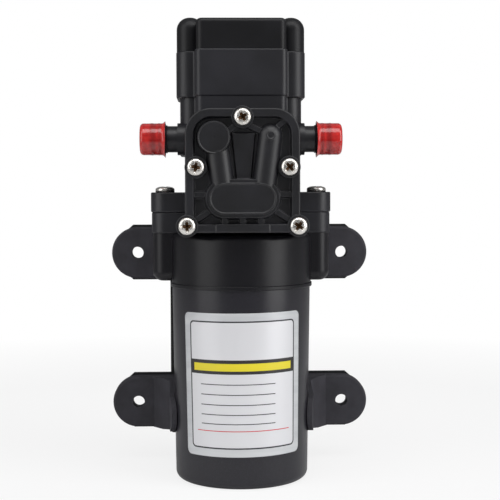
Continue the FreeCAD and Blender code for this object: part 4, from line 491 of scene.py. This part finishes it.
def bar(x, z, first, second):
    """Distance to the straight line between two spots."""
    (ax, az), (bx, bz) = first, second
    along = np.clip(((x - ax) * (bx - ax) + (z - az) * (bz - az))
                    / ((bx - ax) ** 2 + (bz - az) ** 2), 0, 1)
    return np.hypot(x - ax - along * (bx - ax), z - az - along * (bz - az))


def block(x, z, middle, half):
    """How far a spot lies outside an upright rectangle: max(|x - mx| - hx, |z - mz| - hz)."""
    return np.maximum(np.abs(x - middle[0]) - half[0], np.abs(z - middle[1]) - half[1])


def raised(height, distance, top, draft=0.42):
    """The height lifted where distance is negative: max(h, f + (top - f) s(1/2 - d / draft))."""
    return np.maximum(height, FLOOR + (top - FLOOR) * ease(0.5 - distance / draft))


def cover_height(x, z):
    """How thick the cover is at a spot: the highest of its floor, ribs, tubes and chambers.

    A tube stands c + k sqrt(R^2 - d^2) high, with d from its line, and the outer edge is
    rounded by e as h - e + sqrt(e^2 - fall^2).
    """
    height = np.full_like(x, FLOOR)
    for first, second, width, top in RIBS:
        height = raised(height, bar(x, z, first, second) - width / 2, top)
    for middle in UPRIGHT_RIBS:
        height = raised(height, block(x, z, (middle, 92.4), (1.05, 2.2)), top=4.0)
    # Two deep pockets between the upright ribs
    pocket = block(np.abs(x), z, (3.0, 92.45), (1.75, 0.95))
    height = height - (height - POCKET_FLOOR) * ease(0.5 - pocket / 0.3)
    # Centre panel between the tubes, wider towards its top
    slope = (z - 107.4) / 14.0
    left, right = -2.1 - 1.5 * slope, 2.9 + 1.3 * slope
    panel = np.maximum(np.maximum(left - x, x - right), np.maximum(z - 121.8, 105.0 - z))
    height = raised(height, panel, top=3.1, draft=0.5)
    for first, second in (LEFT_TUBE, RIGHT_TUBE):
        distance = bar(x, z, first, second)
        dome = TUBE_FOOT + TUBE_ROUNDNESS * np.sqrt(
            np.maximum(TUBE_HALF_WIDTH ** 2 - distance ** 2, 0))
        foot = ease((TUBE_HALF_WIDTH + 0.25 - distance) / 0.35)
        height = np.maximum(height, FLOOR + (dome - FLOOR) * foot)
    # Round chamber with a bead near its edge and the faint mark of its gate in the middle
    distance = np.hypot(x - ROUND_CHAMBER[0], z - ROUND_CHAMBER[1])
    top = 6.0 + 0.24 * ring(distance, 5.2, 0.2) - 0.1 * ring(distance, 0, 0.7)
    height = raised(height, distance - 5.6, top, draft=0.4)
    # Valve chamber: a shoulder and a plateau whose edge stands a little proud
    distance = bar(x, z, *VALVE_CHAMBER)
    height = raised(height, distance - 6.65, top=5.4, draft=0.6)
    top = 6.34 + 0.3 * ring(distance, 4.95, 0.28)
    height = raised(height, distance - 5.3, top, draft=0.6)
    # Ring on the dome of the right tube
    ring_x, ring_z = RIGHT_TUBE[0]
    height = height + 0.3 * ring(np.hypot(x - ring_x, z - ring_z), 1.25, 0.22)
    # Rim, and the bar along its lower edge
    height = raised(height, -outline(x, z, RIM_WIDTH), RIM, draft=0.5)
    height = raised(height, np.maximum(np.abs(x) - 9.1, z - 91.6), RIM + 0.4, draft=0.35)
    fall = np.clip(EDGE_RADIUS + outline(x, z), 0, EDGE_RADIUS)
    return height - EDGE_RADIUS + np.sqrt(np.maximum(EDGE_RADIUS ** 2 - fall ** 2, 0))


def facing_front(points, x, y, z):
    """Points about +Z carried to a spot, with +Z turned to the front."""
    return points_at(points[..., 0] + x, y - points[..., 2], points[..., 1] + z)


def facing_back(points, x, y, z):
    """Points about +Z carried to a spot, with +Z turned to the back."""
    return points_at(points[..., 0] + x, y + points[..., 2], points[..., 1] + z)


def facing_up(points, x, y, z):
    """Points about +Z carried to a spot."""
    return points + np.array([x, y, z])


def make_cover():
    """The relief is sampled on rays from the cover's middle out to its outline, then walled.

    Each ray's length is found by halving, and the outermost share of it is sampled more finely.
    """
    rays, halvings, longest, edge_share = 760, 40, 40.0, 0.035
    angle = np.linspace(0, 2 * math.pi, rays, endpoint=False)
    across, up = np.cos(angle), np.sin(angle)
    low, high = np.zeros_like(angle), np.full_like(angle, longest)
    for _ in range(halvings):
        reach = (low + high) / 2
        inside = outline(across * reach, COVER_MIDDLE_Z + up * reach) < 0
        low, high = np.where(inside, reach, low), np.where(inside, high, reach)
    share = np.concatenate([np.linspace(0.0, 1 - edge_share, 112),
                            1 - edge_share * np.linspace(1, 0, 9)[1:] ** 2])
    radius = share[:, None] * (low + high) / 2
    x, z = radius * across, COVER_MIDDLE_Z + radius * up
    y = COVER_BACK - cover_height(x, z)
    rows = [points_at(x, y, z)]
    rows += [points_at(x[-1], COVER_BACK - (COVER_BACK - y[-1]) * part, z[-1])[None]
             for part in (0.6, 0.3, 0.0)]
    rows += [points_at(x[-1] * part, COVER_BACK,
                       COVER_MIDDLE_Z + (z[-1] - COVER_MIDDLE_Z) * part)[None]
             for part in (0.6, 0.0)]
    grids = [grid(np.concatenate(rows), wrap=True)]
    collar = turned(rounded(COLLAR, 0.35), 72)
    for screw_x, screw_z in SCREWS:
        grids.append(grid(facing_front(collar, screw_x, COVER_BACK, screw_z), wrap=True))
    piece("cover_relief", grids, cover_abs, "pump_body", ["front_cover"])


# Screws

RECESS_DEPTH = 1.35
SHANK_SIDES = 32


def recessed_head(radius, height, side, recess, turn):
    """A head about +Z, and how deep each spot lies in its cross recess as a share.

    Its top is s + (h - s) sqrt(1 - p^2.6), with p the share of the radius and s the height of
    its side. The recess is as deep at a spot as the nearer arm allows: it falls from the arm's
    end to the middle and its walls lean in.
    """
    angle = np.linspace(0, 2 * math.pi, 120, endpoint=False)
    share = np.concatenate([np.linspace(0, 0.8, 36), np.linspace(0.82, 1.0, 10)])
    reach = share[:, None] * radius * np.ones_like(angle)
    x, y = reach * np.cos(angle), reach * np.sin(angle)
    dome = side + (height - side) * np.sqrt(np.maximum(1 - share[:, None] ** 2.6, 0)) + 0 * angle
    u = x * math.cos(turn) + y * math.sin(turn)
    v = -x * math.sin(turn) + y * math.cos(turn)
    depth = np.zeros_like(dome)
    for along, aside in ((np.abs(u), np.abs(v)), (np.abs(v), np.abs(u))):
        slot_width = 0.23 * radius * (1 - 0.25 * along / recess)
        floor = RECESS_DEPTH * np.clip(1.12 - along / recess, 0, 1) ** 0.6
        wall = np.clip((slot_width - aside) / 0.16, 0, 1)
        depth = np.maximum(depth, floor * wall)
    top = dome - np.minimum(depth, height - 0.35)
    head = points_at(x, y, top)
    rim = head[-1:].copy()
    rim[..., 2] = 0
    under = rim.copy()
    under[..., :2] = 0
    sunk = np.concatenate([(dome - top) / RECESS_DEPTH, np.zeros((2, len(angle)))])
    return np.concatenate([head, rim, under]), sunk


def make_screw_set(name, node, spots, facing, head_sizes, shank_radius, shank_end, turns,
                   narrowed=1.0):
    """Equal screws as one piece, a head with its shank at each spot, each turned its own way.

    The sizes are those of recessed_head. The underside of the head is narrowed by a share.
    """
    first_turn, turn_step = turns
    shank = turned([(0, 0), (shank_radius, 0), (shank_radius, shank_end), (0, shank_end)],
                   SHANK_SIDES)
    grids, depths = [], []
    for index, spot in enumerate(spots):
        head, sunk = recessed_head(*head_sizes, first_turn + turn_step * index)
        head[-2, :, :2] *= narrowed
        depths += [sunk.ravel(), np.zeros(shank[..., 0].size)]
        grids += [grid(facing(part, *spot), wrap=True) for part in (head, shank)]
    depth = np.concatenate(depths)
    # The UV holds each spot's depth in its cross recess, which the nickel finish paints as shade
    piece(name, grids, screw_nickel, "pump_body", [node],
          uv=np.stack([depth, 0 * depth], axis=-1))


def make_screws():
    """Nickel-plated screws with a cross recess: pan heads, and countersunk ones at the back."""
    make_screw_set("cover_screw_heads", "cover_screws",
                   [(x, COVER_BACK - RIM, z) for x, z in SCREWS], facing_front,
                   (2.95, 2.0, 0.75, 1.9), 1.45, -11.5, (0.5, 0.9))
    ear_spots = [(-27.05, 0.0), (27.05, 0.0)]
    cap_spots = [(side * 18.7, y) for side in (-1, 1) for y in (-3.6, 10.2)]
    for name, node, spots, sizes, shank_radius in (
            ("ear_screw_heads", "ear_screws", ear_spots, (3.4, 2.1, 1.0, 1.9), 1.6),
            ("cap_screw_heads", "cap_screws", cap_spots, (2.0, 1.5, 0.6, 1.3), 1.1)):
        low, high = span(node)
        seat = high[2] - sizes[1]
        make_screw_set(name, node, [(x, y, seat) for x, y in spots], facing_up, sizes,
                       shank_radius, low[2] - seat, (0.3, 0.7))
    # Flat heads over a cone, whose foot is a little wider than the shank
    low, high = span("base_screws")
    radius, cone, cone_foot, clearance = 2.7, 1.5, 1.4, 0.02
    up = (low[2] + high[2]) / 2
    make_screw_set("base_screw_heads", "base_screws",
                   [(x, high[1] - cone, up) for x in (low[0] + radius, high[0] - radius)],
                   facing_back, (radius, cone, cone, 1.6), cone_foot - clearance,
                   low[1] - high[1] + cone, (0.4, 0.8), narrowed=cone_foot / radius)


# Port caps

PORT_Y, PORT_Z = -6.0, 120.7
CAP_START, CAP_LENGTH, CAP_RADIUS = 26.6, 8.8, 5.55
CAP_WALL, CAP_LIP, CAP_BEND = 0.55, 0.85, 1.3
CAP_CRESTS = (2.1, 4.6)


def make_port_caps():
    """Thin vinyl caps: a tube with a flared, slightly wavy lip, pressed out over the barbs.

    The lip flares as lip exp(-(t / 0.5)^1.5) (1 + 1.2 w), with t from the cap's mouth and w its
    wave, and the end bends in as b (1 - sqrt(1 - e^2)).
    """
    angle = np.linspace(0, 2 * math.pi, 128, endpoint=False)
    straight = CAP_LENGTH - CAP_BEND
    along = np.unique(np.concatenate([
        np.array([0.0, 0.12, 0.3, 0.5, 0.8, 1.2]), np.linspace(1.6, straight, 40),
        straight + CAP_BEND * np.sin(np.linspace(0.0, math.pi / 2, 12))]))
    for side, label in ((-1, "left"), (1, "right")):
        wave = 0.10 * np.sin(3 * angle + side) + 0.07 * np.sin(5 * angle + 2.1 * side)

        def rings(t, radius):
            """Rings at t from the mouth, each as wide as its radius and the lip's flare."""
            radius = radius + CAP_LIP * np.exp(-(t / 0.5) ** 1.5) * (1 + 1.2 * wave)
            x = CAP_START + t - (0.45 * wave + 0.06) * np.exp(-t / 0.6)
            return points_at(side * x, PORT_Y + radius * np.cos(angle),
                             PORT_Z + radius * np.sin(angle))

        t = along[:, None]
        crests = sum(0.09 * ring(t, crest, 0.45) for crest in CAP_CRESTS)
        end = np.clip((t - CAP_LENGTH + CAP_BEND) / CAP_BEND, 0, 1)
        outer = rings(t, CAP_RADIUS + crests - CAP_BEND * (1 - np.sqrt(1 - 0.999 * end ** 2)))
        inner = rings(along[along < straight][::-1][:, None], CAP_RADIUS - CAP_WALL)
        centre = np.array([side * (CAP_START + CAP_LENGTH), PORT_Y, PORT_Z])
        closing = [centre + (outer[-1:] - centre) * part for part in (0.6, 0.25, 0.0)]
        # The inside of the end, a wall's thickness back
        centre = np.array([side * (CAP_START + CAP_LENGTH - CAP_WALL), PORT_Y, PORT_Z])
        axis = np.array([inner[0, 0, 0], PORT_Y, PORT_Z])
        floor = [centre + (inner[:1] - axis) * part for part in (0.0, 0.6)]
        shell = np.concatenate([*floor, inner, outer, *closing])
        piece(f"vinyl_cap_{label}", [grid(shell, wrap=True)], port_vinyl, f"{label}_cap",
              [f"port_cap_{label}"])


# Label

CAN_END_RADIUS, CAN_DRAFT, CAN_HEIGHT = 23.6, 1.0, 68.7
LABEL_MIDDLE_Z, LABEL_TILT, LABEL_CORNER = 36.3, 0.5, 2.0
LABEL_WRAP_RADIUS = 24.1
LABEL_FACE, LABEL_BACK = 0.09, 0.02


def can_radius_at(z):
    """The can widens from 23.6 at its end to 24.6 at its mouth."""
    return CAN_END_RADIUS + CAN_DRAFT * z / CAN_HEIGHT


def make_label():
    """A thin foil wrapped on the can: x = R sin a, y = -R cos a, a = arc / 24.1, slightly tilted.

    In each corner the half width falls as w = W/2 - r + sqrt(r^2 - d^2), d into the corner.
    """
    columns, straight_rows, corner = 110, 58, LABEL_CORNER
    low = corner * (1 - np.cos(np.linspace(0, math.pi / 2, 9)))
    straight = np.linspace(corner, LABEL_HEIGHT - corner, straight_rows)[1:-1]
    up = np.concatenate([low, straight, LABEL_HEIGHT - low[::-1]]) - LABEL_HEIGHT / 2
    into = np.clip(np.abs(up) - LABEL_HEIGHT / 2 + corner, 0, corner)
    half = LABEL_WIDTH / 2 - corner + np.sqrt(corner ** 2 - into ** 2)
    across = np.linspace(-1, 1, columns)[None, :] * half[:, None]
    up = np.broadcast_to(up[:, None], across.shape)
    tilt = math.radians(LABEL_TILT)
    turn = (across * math.cos(tilt) - up * math.sin(tilt)) / LABEL_WRAP_RADIUS
    z = LABEL_MIDDLE_Z + across * math.sin(tilt) + up * math.cos(tilt)
    front, back = [points_at((can_radius_at(z) + lift) * np.sin(turn),
                             -(can_radius_at(z) + lift) * np.cos(turn), z)
                   for lift in (LABEL_FACE, LABEL_BACK)]
    spots = np.stack([across / LABEL_WIDTH + 0.5, up / LABEL_HEIGHT + 0.5], axis=-1)
    grids, uv = [grid(front), grid(back[::-1])], [spots, spots[::-1]]
    # Four rims join the face to the back
    for rim in ((0, slice(None)), (-1, slice(None)), (slice(None), 0), (slice(None), -1)):
        grids.append(grid(np.stack([front[rim], back[rim]])))
        uv.append(np.stack([spots[rim], spots[rim]]))
    piece("foil_label", grids, label_foil, "pump_body",
          uv=np.concatenate([part.reshape(-1, 2) for part in uv]))


# Floor, light and camera

def make_stage():
    """A pale floor that curves up into a backdrop, shown white to the camera but for shadows.

    Paper lies round the pump only; further out in front the studio floor is dark.
    """
    material, tree, output, place = finish("studio_paper")
    away = add(tree, "ShaderNodeVectorMath", {"Vector": place}, operation="LENGTH")
    far = remap(tree, away.outputs["Value"], 0.0, 1.0, start=0.22, end=0.42)
    front = remap(tree, axes(tree, place)["Y"], 1.0, 0.0, start=-0.25, end=0.05)
    dark = maths(tree, "MULTIPLY", far, front)
    paper = add(tree, "ShaderNodeBsdfDiffuse", {
        "Color": blend_colour(tree, dark, linear("e9e9ea"), linear("6a6a6c"))})
    glow = add(tree, "ShaderNodeEmission", {"Color": linear("ffffff"), "Strength": 1.0})
    camera_ray = add(tree, "ShaderNodeLightPath").outputs["Is Camera Ray"]
    mixed = add(tree, "ShaderNodeMixShader", {
        0: maths(tree, "MULTIPLY", camera_ray, remap(tree, far, 0.82, 1.0)),
        1: paper.outputs["BSDF"], 2: glow.outputs["Emission"]})
    tree.links.new(mixed.outputs["Shader"], output.inputs["Surface"])
    # The sweep in (y, z): floor, a quarter circle, and the upright backdrop
    floor_front, floor_back, bend, top, half_width = -1.2, 0.8, 0.6, 2.4, 3.0
    profile = [(floor_front, 0.0), (floor_back, 0.0)]
    profile += [(floor_back + bend * math.sin(a), bend - bend * math.cos(a))
                for a in np.linspace(0, math.pi / 2, 24)[1:]]
    profile = np.array(profile + [(floor_back + bend, top)])
    corners, quads = grid(points_at(
        np.linspace(-half_width, half_width, 9), profile[:, :1], profile[:, 1:]))
    mesh = bpy.data.meshes.new("studio_sweep")
    mesh.from_pydata(corners.tolist(), [], quads.tolist())
    for face in mesh.polygons:
        face.use_smooth = True
    mesh.materials.append(material)
    item = bpy.data.objects.new("studio_sweep", mesh)
    bpy.context.scene.collection.objects.link(item)


def area_light(name, place, target, size, power):
    """A soft box that points at a spot."""
    light = bpy.data.lights.new(name, "AREA")
    light.shape = "RECTANGLE"
    light.size, light.size_y = size
    light.energy = power
    item = bpy.data.objects.new(name, light)
    bpy.context.scene.collection.objects.link(item)
    item.location = place
    direction = np.array(target) - np.array(place)
    yaw = math.atan2(direction[1], direction[0]) - math.pi / 2
    pitch = math.atan2(direction[2], math.hypot(direction[0], direction[1]))
    item.rotation_euler = (math.pi / 2 + pitch, 0, yaw)


def make_lights():
    """A dim room in front, a white backdrop behind, a soft box at each side and one above.

    The side boxes stand 57 degrees to the side of the camera, where round black parts mirror
    them as the two broad streaks of the photograph.
    """
    world = bpy.data.worlds.new("studio")
    bpy.context.scene.world = world
    world.use_nodes = True
    tree = world.node_tree
    tree.nodes.clear()
    output = add(tree, "ShaderNodeOutputWorld")
    path = add(tree, "ShaderNodeLightPath").outputs
    seen = maths(tree, "MAXIMUM", path["Is Camera Ray"], path["Is Transmission Ray"])
    direction = axes(tree, add(tree, "ShaderNodeTexCoord").outputs["Generated"])
    room = remap(tree, direction["Y"], 0.2, 0.9, start=0.3, end=0.8)
    backdrop = add(tree, "ShaderNodeBackground", {
        "Color": linear("ffffff"), "Strength": maths(tree, "MAXIMUM", seen, room)})
    tree.links.new(backdrop.outputs["Background"], output.inputs["Surface"])
    turn, distance, height, middle = math.radians(57), 0.5, 0.36, (0, 0, 0.30)
    aside, ahead = distance * math.sin(turn), distance * math.cos(turn)
    area_light("left_box", (-aside, -ahead, height), middle, (0.36, 0.72), 1.5)
    area_light("right_box", (aside, -ahead, height), middle, (0.30, 0.72), 2.2)
    area_light("top_box", (0.05, -0.30, 0.72), (0, 0, 0.09), (0.6, 0.35), 2.2)


def make_camera():
    """Fitted to the photograph: 417 mm from the shaft, a little above the middle."""
    camera = bpy.data.cameras.new("camera")
    camera.sensor_width = 36.0
    camera.lens = 83.8
    camera.clip_start = 0.01
    item = bpy.data.objects.new("camera", camera)
    bpy.context.scene.collection.objects.link(item)
    item.location = (-0.00944, -0.4169, 0.1021)
    item.rotation_euler = (math.radians(90 - 2.85), math.radians(0.2), math.radians(-1.75))
    bpy.context.scene.camera = item


dress_nodes()
make_cover()
make_screws()
make_port_caps()
make_label()
make_stage()
make_lights()
make_camera()
bpy.context.scene.view_settings.view_transform = "Standard"
